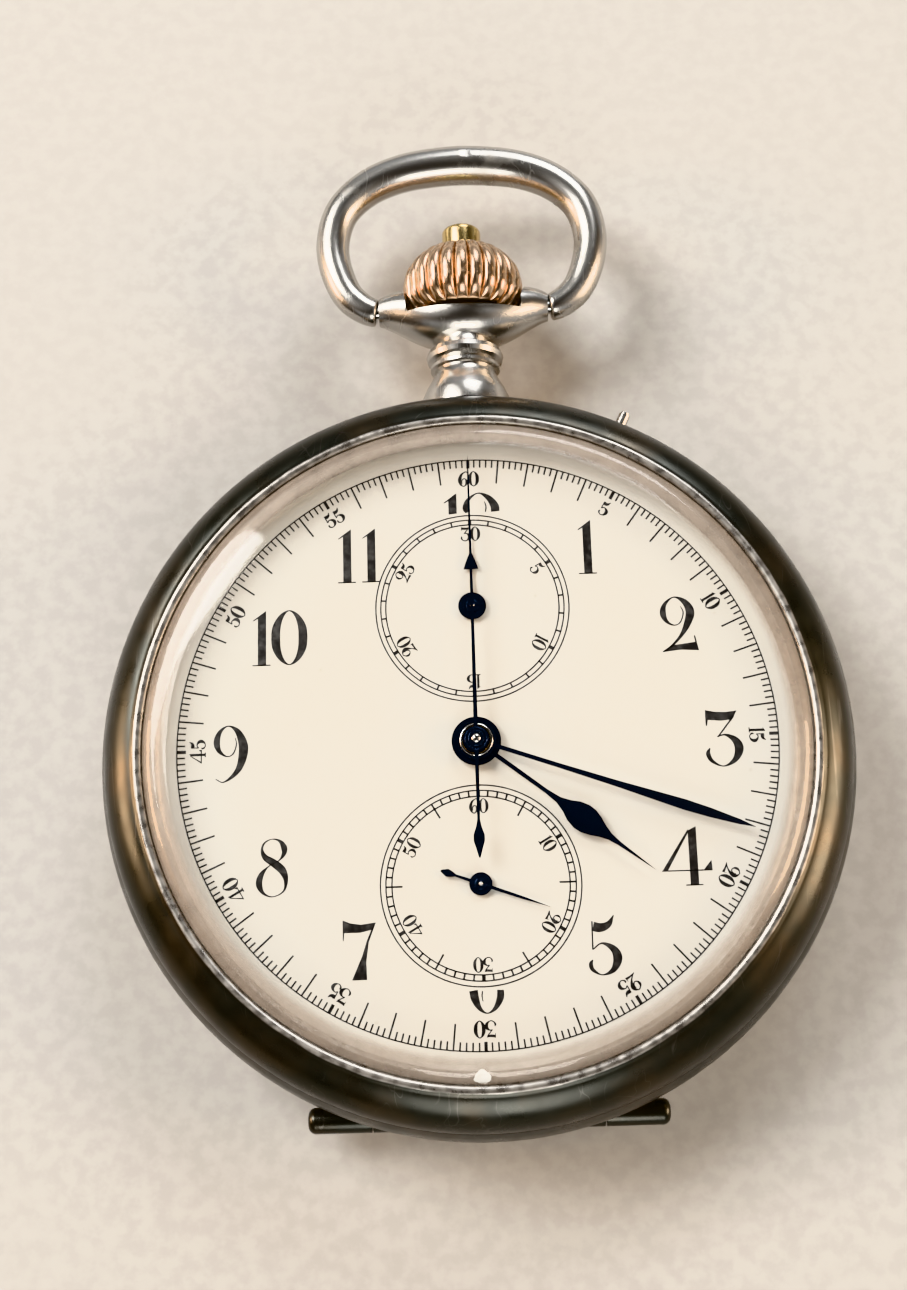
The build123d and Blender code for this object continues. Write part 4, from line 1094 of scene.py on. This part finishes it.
STEM_SERIF = Stroke(((0.09, 0.010, 0.010), (0.41, 0.010, 0.010)), straight=True)
FIGURES: dict[str, Figure] = {
    "0": Figure(
        0.68,
        (
            Stroke(
                (
                    (0.31, 0.99, 0.010),
                    (0.44, 0.90, 0.038),
                    (0.53, 0.71, 0.070),
                    (0.55, 0.50, 0.078),
                    (0.53, 0.29, 0.070),
                    (0.44, 0.10, 0.038),
                    (0.31, 0.01, 0.010),
                    (0.18, 0.10, 0.038),
                    (0.09, 0.29, 0.070),
                    (0.07, 0.50, 0.078),
                    (0.09, 0.71, 0.070),
                    (0.18, 0.90, 0.038),
                ),
                closed=True,
            ),
        ),
    ),
    "1": Figure(
        0.43,
        (
            Patch(((0.33, 1.0), (0.10, 0.83), (0.105, 0.815), (0.185, 0.862), (0.185, 0.0), (0.33, 0.0))),
            STEM_SERIF,
        ),
    ),
    "2": Figure(
        0.70,
        (
            Stroke(
                (
                    (0.38, 0.82, 0.006),
                    (0.42, 0.70, 0.011),
                    (0.36, 0.53, 0.010),
                    (0.25, 0.48, 0.010),
                    (0.125, 0.55, 0.030),
                    (0.065, 0.70, 0.054),
                    (0.11, 0.87, 0.032),
                    (0.27, 0.99, 0.010),
                    (0.45, 0.90, 0.050),
                    (0.54, 0.72, 0.076),
                    (0.48, 0.50, 0.060),
                    (0.36, 0.29, 0.030),
                    (0.19, 0.11, 0.018),
                    (0.03, 0.005, 0.010),
                )
            ),
            Patch(
                (
                    (0.02, 0.0),
                    (0.17, 0.115),
                    (0.60, 0.165),
                    (0.58, 0.28),
                    (0.60, 0.285),
                    (0.655, 0.012),
                    (0.35, 0.035),
                )
            ),
        ),
    ),
    "3": Figure(
        0.68,
        (
            Patch(
                (
                    (0.045, 1.0),
                    (0.20, 0.965),
                    (0.40, 0.955),
                    (0.59, 0.975),
                    (0.50, 0.82),
                    (0.30, 0.805),
                    (0.085, 0.825),
                    (0.065, 0.72),
                    (0.045, 0.72),
                )
            ),
            Stroke(((0.53, 0.88, 0.014), (0.24, 0.52, 0.012)), straight=True),
            Stroke(
                (
                    (0.23, 0.525, 0.008),
                    (0.37, 0.555, 0.018),
                    (0.53, 0.46, 0.058),
                    (0.59, 0.31, 0.076),
                    (0.51, 0.12, 0.045),
                    (0.31, 0.010, 0.010),
                    (0.12, 0.10, 0.030),
                    (0.055, 0.23, 0.038),
                    (0.09, 0.33, 0.010),
                )
            ),
        ),
    ),
    "4": Figure(
        0.90,
        (
            Patch(((0.47, 0.0), (0.61, 0.0), (0.61, 1.0), (0.47, 0.93))),
            Patch(
                ((0.0, 0.248), (0.10, 0.262), (0.15, 0.345), (0.475, 0.90), (0.475, 0.955), (0.455, 0.93))
            ),
            Stroke(((0.0, 0.255, 0.010), (0.85, 0.255, 0.010)), straight=True),
            Patch(((0.70, 0.255), (0.85, 0.255), (0.84, 0.42))),
            Stroke(((0.39, 0.010, 0.010), (0.68, 0.010, 0.010)), straight=True),
        ),
    ),
    "5": Figure(
        0.64,
        (
            Stroke(((0.105, 0.815, 0.078), (0.22, 0.79, 0.075), (0.36, 0.84, 0.052), (0.455, 0.99, 0.006))),
            Stroke(((0.088, 0.90, 0.012), (0.082, 0.43, 0.012)), straight=True),
            Stroke(
                (
                    (0.082, 0.43, 0.010),
                    (0.24, 0.53, 0.016),
                    (0.43, 0.43, 0.058),
                    (0.49, 0.27, 0.076),
                    (0.41, 0.09, 0.045),
                    (0.23, 0.010, 0.010),
                    (0.075, 0.09, 0.030),
                    (0.04, 0.19, 0.034),
                    (0.075, 0.26, 0.010),
                )
            ),
        ),
    ),
    "6": Figure(
        0.66,
        (
            Stroke(
                (
                    (0.58, 0.95, 0.008),
                    (0.44, 0.985, 0.012),
                    (0.20, 0.80, 0.050),
                    (0.085, 0.45, 0.080),
                    (0.15, 0.14, 0.050),
                    (0.31, 0.010, 0.010),
                    (0.46, 0.10, 0.036),
                    (0.53, 0.29, 0.062),
                    (0.47, 0.47, 0.030),
                    (0.36, 0.53, 0.010),
                    (0.25, 0.45, 0.010),
                    (0.21, 0.30, 0.010),
                    (0.24, 0.20, 0.006),
                )
            ),
        ),
    ),
    "7": Figure(
        0.66,
        (
            Patch(
                (
                    (0.01, 1.0),
                    (0.14, 0.945),
                    (0.32, 0.918),
                    (0.57, 0.95),
                    (0.51, 0.83),
                    (0.30, 0.785),
                    (0.035, 0.785),
                    (0.022, 0.65),
                    (0.01, 0.65),
                )
            ),
            Patch(
                (
                    (0.57, 0.95),
                    (0.50, 0.85),
                    (0.415, 0.65),
                    (0.335, 0.40),
                    (0.16, 0.0),
                    (0.41, 0.0),
                    (0.40, 0.30),
                    (0.445, 0.62),
                )
            ),
        ),
    ),
    "8": Figure(
        0.60,
        (
            Stroke(
                (
                    (0.29, 0.99, 0.008),
                    (0.16, 0.93, 0.014),
                    (0.115, 0.81, 0.022),
                    (0.17, 0.68, 0.050),
                    (0.32, 0.575, 0.066),
                    (0.46, 0.45, 0.066),
                    (0.52, 0.28, 0.036),
                    (0.48, 0.10, 0.014),
                    (0.30, 0.010, 0.008),
                    (0.14, 0.07, 0.024),
                    (0.065, 0.22, 0.054),
                    (0.10, 0.38, 0.044),
                    (0.22, 0.52, 0.010),
                    (0.40, 0.62, 0.010),
                    (0.485, 0.73, 0.036),
                    (0.49, 0.84, 0.052),
                    (0.42, 0.95, 0.026),
                ),
                closed=True,
            ),
        ),
    ),
    "9": Figure(
        0.62,
        (
            Stroke(
                (
                    (0.385, 0.78, 0.006),
                    (0.405, 0.66, 0.010),
                    (0.35, 0.50, 0.010),
                    (0.24, 0.455, 0.010),
                    (0.11, 0.55, 0.036),
                    (0.065, 0.71, 0.056),
                    (0.12, 0.89, 0.034),
                    (0.27, 0.99, 0.010),
                    (0.44, 0.87, 0.052),
                    (0.53, 0.58, 0.082),
                    (0.44, 0.22, 0.050),
                    (0.20, 0.010, 0.012),
                    (0.05, 0.06, 0.008),
                )
            ),
        ),
    ),
    # the parts of 12 and 6 that the registers leave to be seen
    "1_top": Figure(
        0.43,
        (
            Patch(
                ((0.33, 1.0), (0.10, 0.83), (0.105, 0.815), (0.185, 0.862), (0.185, 0.605), (0.33, 0.620))
            ),
        ),
    ),
    "2_top": Figure(
        0.70,
        (
            Stroke(
                (
                    (0.098, 0.64, 0.046),
                    (0.062, 0.72, 0.055),
                    (0.11, 0.87, 0.032),
                    (0.29, 0.99, 0.010),
                    (0.47, 0.90, 0.048),
                    (0.575, 0.75, 0.074),
                    (0.59, 0.635, 0.076),
                )
            ),
            Stroke(((0.40, 0.83, 0.006), (0.425, 0.74, 0.011), (0.415, 0.63, 0.010))),
        ),
    ),
    "6_low": Figure(
        0.62,
        (
            Stroke(
                (
                    (0.095, 0.385, 0.072),
                    (0.12, 0.24, 0.066),
                    (0.20, 0.08, 0.034),
                    (0.32, 0.010, 0.010),
                    (0.45, 0.09, 0.034),
                    (0.535, 0.25, 0.058),
                    (0.545, 0.385, 0.056),
                )
            ),
            Stroke(((0.245, 0.375, 0.010), (0.235, 0.29, 0.010), (0.25, 0.20, 0.006))),
        ),
    ),
}


def set_down(points: Grid, shift: Grid, size: float, spin: Grid, centre: Point) -> Grid:
    """Moves a figure's points to the dial: centred, sized, turned and set down.

    Args:
        points: The points, in figure heights.
        shift: What moves the figure to its place in the row.
        size: The figure's height, in millimetres.
        spin: The turn, as a two by two grid.
        centre: Where the row's middle comes.

    Returns:
        The points on the dial.
    """
    return (points + shift) * size @ spin + np.array(centre)


@dataclass
class Lettering:
    """Sets numerals in the plane of the dial as thin closed plates."""

    surface: Surface
    low: float = DIAL_TOP - 0.01
    high: float = DIAL_TOP + 0.018
    per_span: int = 7

    def ribbon(self, stroke: Stroke, weight: float, least: float) -> tuple[Grid, Grid]:
        """Both edges of a stroke: its curve moved sideways by the half width.

        Args:
            stroke: The stroke, in figure heights.
            weight: Factor on its half widths.
            least: The thinnest half width that is drawn.

        Returns:
            Left and right edge points.
        """
        curve = np.array(stroke.points) if stroke.straight else smooth_curve(
            stroke.points, self.per_span, stroke.closed
        )
        if stroke.closed:
            ahead = np.roll(curve, -1, 0)[:, :2] - np.roll(curve, 1, 0)[:, :2]
        else:
            ahead = np.gradient(curve[:, :2], axis=0)
        ahead /= np.linalg.norm(ahead, axis=1)[:, None]
        side = np.stack([-ahead[:, 1], ahead[:, 0]], 1) * np.maximum(curve[:, 2:3] * weight, least)
        return curve[:, :2] + side, curve[:, :2] - side

    def write(
        self,
        figures: Sequence[str],
        size: float,
        centre: Point,
        turn_deg: float = 0.0,
        weight: float = 1.0,
        least: float = 0.0,
    ) -> None:
        """Writes a number centred on a point.

        Args:
            figures: Names of the figures, left to right.
            size: Height in millimetres.
            centre: Middle of the number on the dial.
            turn_deg: Anticlockwise turn of the whole number.
            weight: Factor on stroke widths.
            least: Thinnest half width in millimetres.
        """
        widths = [FIGURES[f].advance for f in figures]
        pen = np.concatenate([[0], np.cumsum(widths)])
        turn = math.radians(turn_deg)
        spin = np.array([[math.cos(turn), math.sin(turn)], [-math.sin(turn), math.cos(turn)]])
        middle = np.array([(pen[-1] - 0.07) / 2, 0.5])
        for figure, start in zip(figures, pen):
            shift = np.array([start, 0.0]) - middle
            for mark in FIGURES[figure].marks:
                if isinstance(mark, Patch):
                    self.surface.add_prism(
                        set_down(np.array(mark.points), shift, size, spin, centre), self.low, self.high
                    )
                else:
                    left, right = self.ribbon(mark, weight, least / size)
                    self.surface.add_ribbon(
                        set_down(left, shift, size, spin, centre),
                        set_down(right, shift, size, spin, centre),
                        self.low,
                        self.high,
                        mark.closed,
                    )


def add_rays(
    surface: Surface,
    centre: Point,
    degrees: Grid,
    inner: Grid,
    outer: float,
    width: Grid,
    low: float,
    high: float,
) -> None:
    """Adds straight marks that point at a centre: boxes worked out together from angle, ends and width.

    Args:
        surface: Where the marks go.
        centre: The point that they aim at.
        degrees: Clockwise angle of each from 12 o'clock.
        inner: Inner end of each.
        outer: Outer end of all.
        width: Width of each.
        low: Height of the undersides.
        high: Height of the tops.
    """
    turn = np.radians(degrees)
    out = np.stack([np.sin(turn), np.cos(turn)], 1)
    side = np.stack([np.cos(turn), -np.sin(turn)], 1) * (width / 2)[:, None]
    near, far = out * inner[:, None], out * outer
    ring = np.stack([near - side, near + side, far + side, far - side], 1) + np.array(centre)
    boxes = np.concatenate(
        [np.concatenate([ring, np.full((*ring.shape[:2], 1), z)], 2) for z in (low, high)], 1
    )
    corners = np.array([[0, 1, 2, 3], [7, 6, 5, 4], [0, 4, 5, 1], [1, 5, 6, 2], [2, 6, 7, 3], [3, 7, 4, 0]])
    faces = corners[None] + 8 * np.arange(len(ring))[:, None, None]
    surface.add(boxes, faces.reshape(-1, 4))


def add_circle(
    surface: Surface, centre: Point, radius: float, width: float, low: float, high: float, turns: int = 240
) -> None:
    """Adds a thin painted circle as a closed ring of four-sided section.

    Args:
        surface: Where it goes.
        centre: Its centre.
        radius: Radius of its middle line.
        width: Line width.
        low: Height of the underside.
        high: Height of the top.
        turns: Steps round.
    """
    angle = np.arange(turns) * FULL_TURN / turns
    ray = np.stack([np.cos(angle), np.sin(angle)], 1)
    surface.add_ribbon(
        np.array(centre) + ray * (radius + width / 2),
        np.array(centre) + ray * (radius - width / 2),
        low,
        high,
        True,
    )


@dataclass
class SecondsScale:
    """The outer scale: 300 fifth-of-a-second marks hung from a circle, numbered each five seconds."""

    radius: float = 20.75
    short: float = 0.57
    full: float = 1.74
    text_radius: float = 19.32
    text_size: float = 1.12

    def draw(self, lettering: Lettering) -> None:
        """Draws the circle, the marks and the radial numbers.

        Args:
            lettering: What draws the marks and numbers.
        """
        marks = np.arange(300)
        seconds = marks % 5 == 0
        fives = marks % 25 == 0
        inner = self.radius - np.where(
            seconds & ~fives, self.full, np.where(fives, self.short * 1.1, self.short)
        )
        width = np.where(fives, 0.22, np.where(seconds, 0.11, 0.10))
        s, low, high = lettering.surface, lettering.low, lettering.high
        add_rays(s, (0, 0), marks * 1.2, inner, self.radius, width, low, high)
        add_circle(s, (0, 0), self.radius, 0.08, low, high)
        for second in range(5, 61, 5):
            turn = second * 6
            centre = (
                self.text_radius * math.sin(math.radians(turn)),
                self.text_radius * math.cos(math.radians(turn)),
            )
            lettering.write(str(second), self.text_size, centre, -turn, 1.4, 0.034)


@dataclass
class Register:
    """A small dial: three circles, divisions between the inner two and radial numbers."""

    centre: Point
    circles: tuple[float, float, float]
    divisions: int
    bold_each: int
    numbers: tuple[int, ...]
    text_radius: float
    text_size: float = 0.98
    long_marks: tuple[int, ...] = ()
    long_inner: float = 5.3

    def draw(self, lettering: Lettering) -> None:
        """Draws circles, divisions, long marks and numbers.

        Args:
            lettering: What draws the marks and numbers.
        """
        s, low, high = lettering.surface, lettering.low, lettering.high
        for radius in self.circles:
            add_circle(s, self.centre, radius, 0.09, low, high, 160)
        marks = np.arange(self.divisions)
        bold = marks % self.bold_each == 0
        inner = np.full(self.divisions, self.circles[2])
        inner[list(self.long_marks)] = self.long_inner
        width = np.where(bold, 0.24, 0.12)
        add_rays(s, self.centre, marks * 360 / self.divisions, inner, self.circles[1], width, low, high)
        for number in self.numbers:
            turn = number * 360 / self.divisions
            x, y = math.sin(math.radians(turn)), math.cos(math.radians(turn))
            centre = (self.centre[0] + self.text_radius * x, self.centre[1] + self.text_radius * y)
            lettering.write(str(number), self.text_size, centre, -turn, 1.3, 0.032)


@dataclass
class Dial:
    """The enamel dial with its fired figures."""

    numeral_size: float = 4.0
    numerals: tuple[tuple[tuple[str, ...], float, float], ...] = (
        (("1",), 7.97, 13.9),
        (("2",), 14.34, 8.01),
        (("3",), 16.86, -0.22),
        (("4",), 13.9, -8.26),
        (("5",), 8.14, -14.04),
        (("6_low",), 0.0, -16.32),
        (("7",), -8.25, -13.88),
        (("8",), -14.23, -8.19),
        (("9",), -17.14, -0.21),
        (("1", "0"), -13.8, 7.98),
        (("1", "1"), -8.23, 13.83),
        (("1_top", "2_top"), -0.1, 16.26),
    )
    upper: Register = field(
        default_factory=lambda: Register(
            (0.0, REGISTER_OFFSET), (6.80, 6.45, 6.10), 30, 5, (5, 10, 15, 20, 25, 30), 5.42, 1.05
        )
    )
    lower: Register = field(
        default_factory=lambda: Register(
            (0.0, -REGISTER_OFFSET), (6.80, 6.43, 6.02), 60, 10, (10, 20, 30, 40, 50, 60), 5.36, 1.0, (
                5, 15, 25, 35, 45, 55
            )
        )
    )

    def build(self, finishes: Finishes) -> None:
        """Lays the figures on the enamel as three pieces.

        Args:
            finishes: The watch's materials.
        """
        hours = Lettering(Surface())
        for figures, x, y in self.numerals:
            hours.write(figures, self.numeral_size, (x, y))
        scale = Lettering(Surface())
        SecondsScale().draw(scale)
        registers = Lettering(Surface())
        self.upper.draw(registers)
        self.lower.draw(registers)
        for name, lettering in (
            ("dial_hour_numerals", hours), ("dial_seconds_scale", scale), ("dial_registers", registers)
        ):
            lettering.surface.piece(name, "case", finishes.ink, "enamel", 30)


# ---------------------------------------------------------------- hands


@dataclass
class HandBosses:
    """Turned bosses on the hands' hubs and the bright pivots in them."""

    turns: int = 96

    def build(self, finishes: Finishes) -> None:
        """Turns the minute hand's raised ring, the seconds hand's collet and the small hands' collets.

        Args:
            finishes: The watch's materials.
        """
        ring = outline(
            straight((0.93, 11.34), (1.17, 11.34), 3),
            arc((1.17, 11.34), (1.05, 11.44), (0.93, 11.34), 11),
        )
        turned(ring[:-1], Axis.DIAL, self.turns, True).piece(
            "minute_hand_boss", "minutes", finishes.steel, "steel", 60
        )
        groove = outline(
            straight((0.66, 11.795), (0.80, 11.795), 2),
            arc((0.80, 11.795), (0.73, 11.84), (0.66, 11.795), 9),
        )
        turned(groove[:-1], Axis.DIAL, self.turns, True).piece(
            "seconds_hand_ring", "chronograph_seconds", finishes.blued, "blued_steel", 60
        )
        self.collet(
            "seconds_hand_collet", "chronograph_seconds", (0.0, 0.0), 11.79, 0.56, 0.30, 0.16, finishes
        )
        self.collet(
            "minute_counter_collet",
            "minute_counter",
            (0.0, REGISTER_OFFSET),
            10.55,
            0.45,
            0.16,
            0.12,
            finishes,
        )
        self.collet(
            "small_seconds_collet",
            "small_seconds",
            (0.0, -REGISTER_OFFSET),
            10.55,
            0.42,
            0.16,
            0.12,
            finishes,
        )

    def collet(
        self,
        name: str,
        body: str,
        centre: Point,
        base: float,
        radius: float,
        pivot: float,
        height: float,
        finishes: Finishes,
    ) -> None:
        """Turns a blued collet with a hollow top, and the bright domed pivot that stands in it.

        Args:
            name: The collet's name.
            body: The body that it rides on.
            centre: Its place on the dial.
            base: Height of its foot.
            radius: Outer radius.
            pivot: Radius of the pivot.
            height: Height of the collet.
            finishes: Materials.
        """
        top = base + height
        shell = outline(
            straight((pivot, base), (radius, base), 3),
            straight((radius, base), (radius, top - 0.06), 3),
            arc((radius, top - 0.06), (radius - 0.02, top - 0.01), (radius - 0.08, top), 4),
            straight((radius - 0.08, top), (pivot + 0.05, top), 3),
            straight((pivot + 0.05, top), (pivot, top - 0.05), 2),
            straight((pivot, top - 0.05), (pivot, base), 3),
        )
        turned(shell[:-1], Axis.DIAL, self.turns, True, centre=centre).piece(
            name, body, finishes.blued, "blued_steel", 40
        )
        head = outline(
            straight((0.0, base), (pivot - 0.005, base), 3),
            straight((pivot - 0.005, base), (pivot - 0.005, top), 2),
            arc((pivot - 0.005, top), (pivot * 0.6, top + 0.07), (0.0, top + 0.10), 7),
        )
        turned(head, Axis.DIAL, self.turns, False, centre=centre).piece(
            name + "_pivot", body, finishes.steel, "steel", 40
        )


# ---------------------------------------------------------------- movement


def smoothing_group(sharp_deg: float = 28.0) -> bpy.types.NodeTree:
    """Geometry nodes that weld a CAD mesh as it is drawn and shade it smooth but for its real edges.

    Args:
        sharp_deg: Edges that turn more than this stay sharp.

    Returns:
        The node group.
    """
    group = bpy.data.node_groups.new("smooth_but_for_edges", "GeometryNodeTree")
    group.interface.new_socket("Geometry", in_out="INPUT", socket_type="NodeSocketGeometry")
    group.interface.new_socket("Geometry", in_out="OUTPUT", socket_type="NodeSocketGeometry")
    add, join = group.nodes.new, group.links.new
    entry, leave = add("NodeGroupInput"), add("NodeGroupOutput")
    plain = add("GeometryNodeRemoveAttribute")
    plain.inputs["Name"].default_value = "custom_normal"
    weld = add("GeometryNodeMergeByDistance")
    weld.inputs["Distance"].default_value = 2e-7
    faces, edges = add("GeometryNodeSetShadeSmooth"), add("GeometryNodeSetShadeSmooth")
    faces.domain, edges.domain = "FACE", "EDGE"
    faces.inputs["Shade Smooth"].default_value = True
    edges.inputs["Shade Smooth"].default_value = False
    turn = add("GeometryNodeInputMeshEdgeAngle")
    over = add("FunctionNodeCompare")
    over.operation, over.data_type = "GREATER_THAN", "FLOAT"
    over.inputs[1].default_value = math.radians(sharp_deg)
    join(turn.outputs["Unsigned Angle"], over.inputs[0])
    join(over.outputs[0], edges.inputs["Selection"])
    for before, after in ((entry, plain), (plain, weld), (weld, faces), (faces, edges), (edges, leave)):
        join(before.outputs[0], after.inputs[0])
    return group


def dress(name: str, material: bpy.types.Material, smoothing: bpy.types.NodeTree | None = None) -> None:
    """Gives a carried-over CAD node a finish through its material slots.

    Args:
        name: The node.
        material: The finish.
        smoothing: The node group that shades it smooth, or None to leave its shading.
    """
    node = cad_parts[name]
    if smoothing is not None:
        node.modifiers.new("smooth_but_for_edges", "NODES").node_group = smoothing
    if not node.material_slots:
        node.data.materials.append(material)
    for place in node.material_slots:
        place.link = "OBJECT"
        place.material = material
    LOG.info("%s: CAD node dressed in %s", name, material.name)


@dataclass
class Movement:
    """The movement's plates, wheels, levers and stones: CAD nodes in their own finishes."""

    striped: tuple[str, ...] = (
        "barrel_bridge", "train_bridge", "pallet_cock", "balance_cock", "chronograph_bridge"
    )
    gilt: tuple[str, ...] = (
        "mainspring_barrel",
        "centre_wheel",
        "third_wheel",
        "fourth_wheel",
        "minute_wheel",
        "hour_wheel",
        "chronograph_wheel",
        "driving_wheel",
        "coupling_wheel",
        "minute_recorder_wheel",
        "balance_wheel",
    )
    blued: tuple[str, ...] = (
        "hour_hand",
        "minute_hand",
        "chrono_seconds_hand",
        "minute_counter_hand",
        "small_seconds_hand",
        "hairspring",
        "bridge_screws",
        "shouldered_screws",
        "case_screws",
    )
    silver: tuple[str, ...] = ("pendant", "setting_pin", "setting_pin_bush")

    def build(self, finishes: Finishes) -> None:
        """Dresses every node; what no list names is polished steel.

        Args:
            finishes: The watch's materials.
        """
        chosen = {name: finishes.nickel for name in self.striped}
        chosen |= {name: finishes.gilt for name in self.gilt}
        chosen |= {name: finishes.blued for name in self.blued}
        chosen |= {name: finishes.silver for name in self.silver}
        chosen |= {"mainplate": finishes.plate, "jewels": finishes.ruby, "cuvette": finishes.cuvette}
        chosen |= {"crown": finishes.crown, "chrono_button": finishes.button, "bow": finishes.silver}
        chosen |= {"bezel": finishes.bezel, "crystal": finishes.glass, "case_middle": finishes.case}
        chosen |= {"back_cover": finishes.case, "dial": finishes.enamel, "setting_pin": finishes.silver}
        smoothing = smoothing_group()
        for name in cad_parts:
            dress(name, chosen.get(name, finishes.steel), smoothing)


# ---------------------------------------------------------------- stage


@dataclass
class Studio:
    """Floor, soft lights and the camera."""

    lens: float = 48.57
    camera_mm: tuple[float, float, float] = (1.12, -24.22, 127.97)
    camera_turn_deg: tuple[float, float, float] = (-14.82, -1.64, 1.57)
    floor_half: float = 0.6

    def build(self, finishes: Finishes) -> None:
        """Lays the floor, hangs the lights and sets the camera.

        Args:
            finishes: The watch's materials.
        """
        mesh = bpy.data.meshes.new("tabletop")
        h = self.floor_half
        mesh.from_pydata(
            [(-h, -h, -2e-5), (h, -h, -2e-5), (h, h, -2e-5), (-h, h, -2e-5)], [], [(0, 1, 2, 3)]
        )
        mesh.materials.append(finishes.floor)
        floor = bpy.data.objects.new("tabletop", mesh)
        bpy.context.scene.collection.objects.link(floor)
        self.light("window_key", (-0.50, 0.34, 0.62), 0.42, 12.0, (1.0, 0.985, 0.955))
        self.light("warm_side", (0.40, -0.02, 0.16), 0.22, 2.6, (1.0, 0.76, 0.54))
        self.light("warm_left", (-0.42, 0.04, 0.15), 0.16, 1.9, (1.0, 0.68, 0.44))
        self.light("low_front", (0.02, -0.52, 0.30), 0.30, 2.6, (1.0, 0.97, 0.92))
        self.light("top_back", (0.16, 0.55, 0.40), 0.30, 3.2, (0.97, 0.985, 1.0))
        self.air()
        self.camera()

    def air(self) -> None:
        """Fills the room with soft light: two slow clouds between shade, daylight and a little warmth."""
        world = bpy.data.worlds.new("studio_air")
        world.use_nodes = True
        tree = world.node_tree
        ways = tree.nodes.new("ShaderNodeTexCoord").outputs["Generated"]
        clouds = tree.nodes.new("ShaderNodeTexNoise")
        clouds.inputs["Scale"].default_value = 1.4
        clouds.inputs["Detail"].default_value = 1.0
        ramp = tree.nodes.new("ShaderNodeValToRGB")
        ramp.color_ramp.elements[0].position, ramp.color_ramp.elements[0].color = 0.38, (
            0.045, 0.042, 0.04, 1.0
        )
        ramp.color_ramp.elements[1].position, ramp.color_ramp.elements[1].color = 0.62, (
            0.95, 0.97, 1.0, 1.0
        )
        middle = ramp.color_ramp.elements.new(0.48)
        middle.color = (0.30, 0.275, 0.245, 1.0)
        tree.links.new(ways, clouds.inputs["Vector"])
        tree.links.new(clouds.outputs["Fac"], ramp.inputs["Fac"])
        tree.links.new(ramp.outputs["Color"], tree.nodes["Background"].inputs[0])
        tree.nodes["Background"].inputs[1].default_value = 0.50
        bpy.context.scene.world = world
        bpy.context.scene.view_settings.view_transform = "Khronos PBR Neutral"

    def light(
        self, name: str, place: tuple[float, float, float], size: float, watts: float, tint: Colour
    ) -> None:
        """Hangs a square soft light that looks at the middle of the watch.

        Args:
            name: Its name.
            place: Where it hangs, in metres.
            size: Length of a side.
            watts: Power.
            tint: Colour.
        """
        data = bpy.data.lights.new(name, "AREA")
        data.shape, data.size, data.energy, data.color = "SQUARE", size, watts, tint
        lamp = bpy.data.objects.new(name, data)
        away = Matrix.Translation(place).to_translation()
        lamp.location = away
        lamp.rotation_mode = "QUATERNION"
        lamp.rotation_quaternion = away.to_track_quat("Z", "Y")
        bpy.context.scene.collection.objects.link(lamp)

    def camera(self) -> None:
        """Sets the camera: three turns one after another, undone, give its stand."""
        data = bpy.data.cameras.new("camera")
        data.lens, data.sensor_width = self.lens, 36.0
        data.clip_start, data.clip_end = 0.005, 10.0
        camera = bpy.data.objects.new("camera", data)
        bpy.context.scene.collection.objects.link(camera)
        x, y, z = (math.radians(a) for a in self.camera_turn_deg)
        turn = Matrix.Rotation(x, 4, "X") @ Matrix.Rotation(y, 4, "Y") @ Matrix.Rotation(z, 4, "Z")
        place = Matrix.Translation([c * MM for c in self.camera_mm])
        camera.matrix_world = place @ turn.transposed()
        bpy.context.scene.camera = camera


def main() -> None:
    """Builds the watch's looks in order."""
    logging.basicConfig(level=logging.INFO, format="%(name)s: %(message)s")
    finishes = Finishes()
    for part in (
        Movement(), Bezel(), Crystal(), Bow(), Crown(), PushButton(), Dial(), HandBosses(), Studio()
    ):
        part.build(finishes)
        LOG.info("%s built", type(part).__name__)


if __name__ == "__main__":
    main()
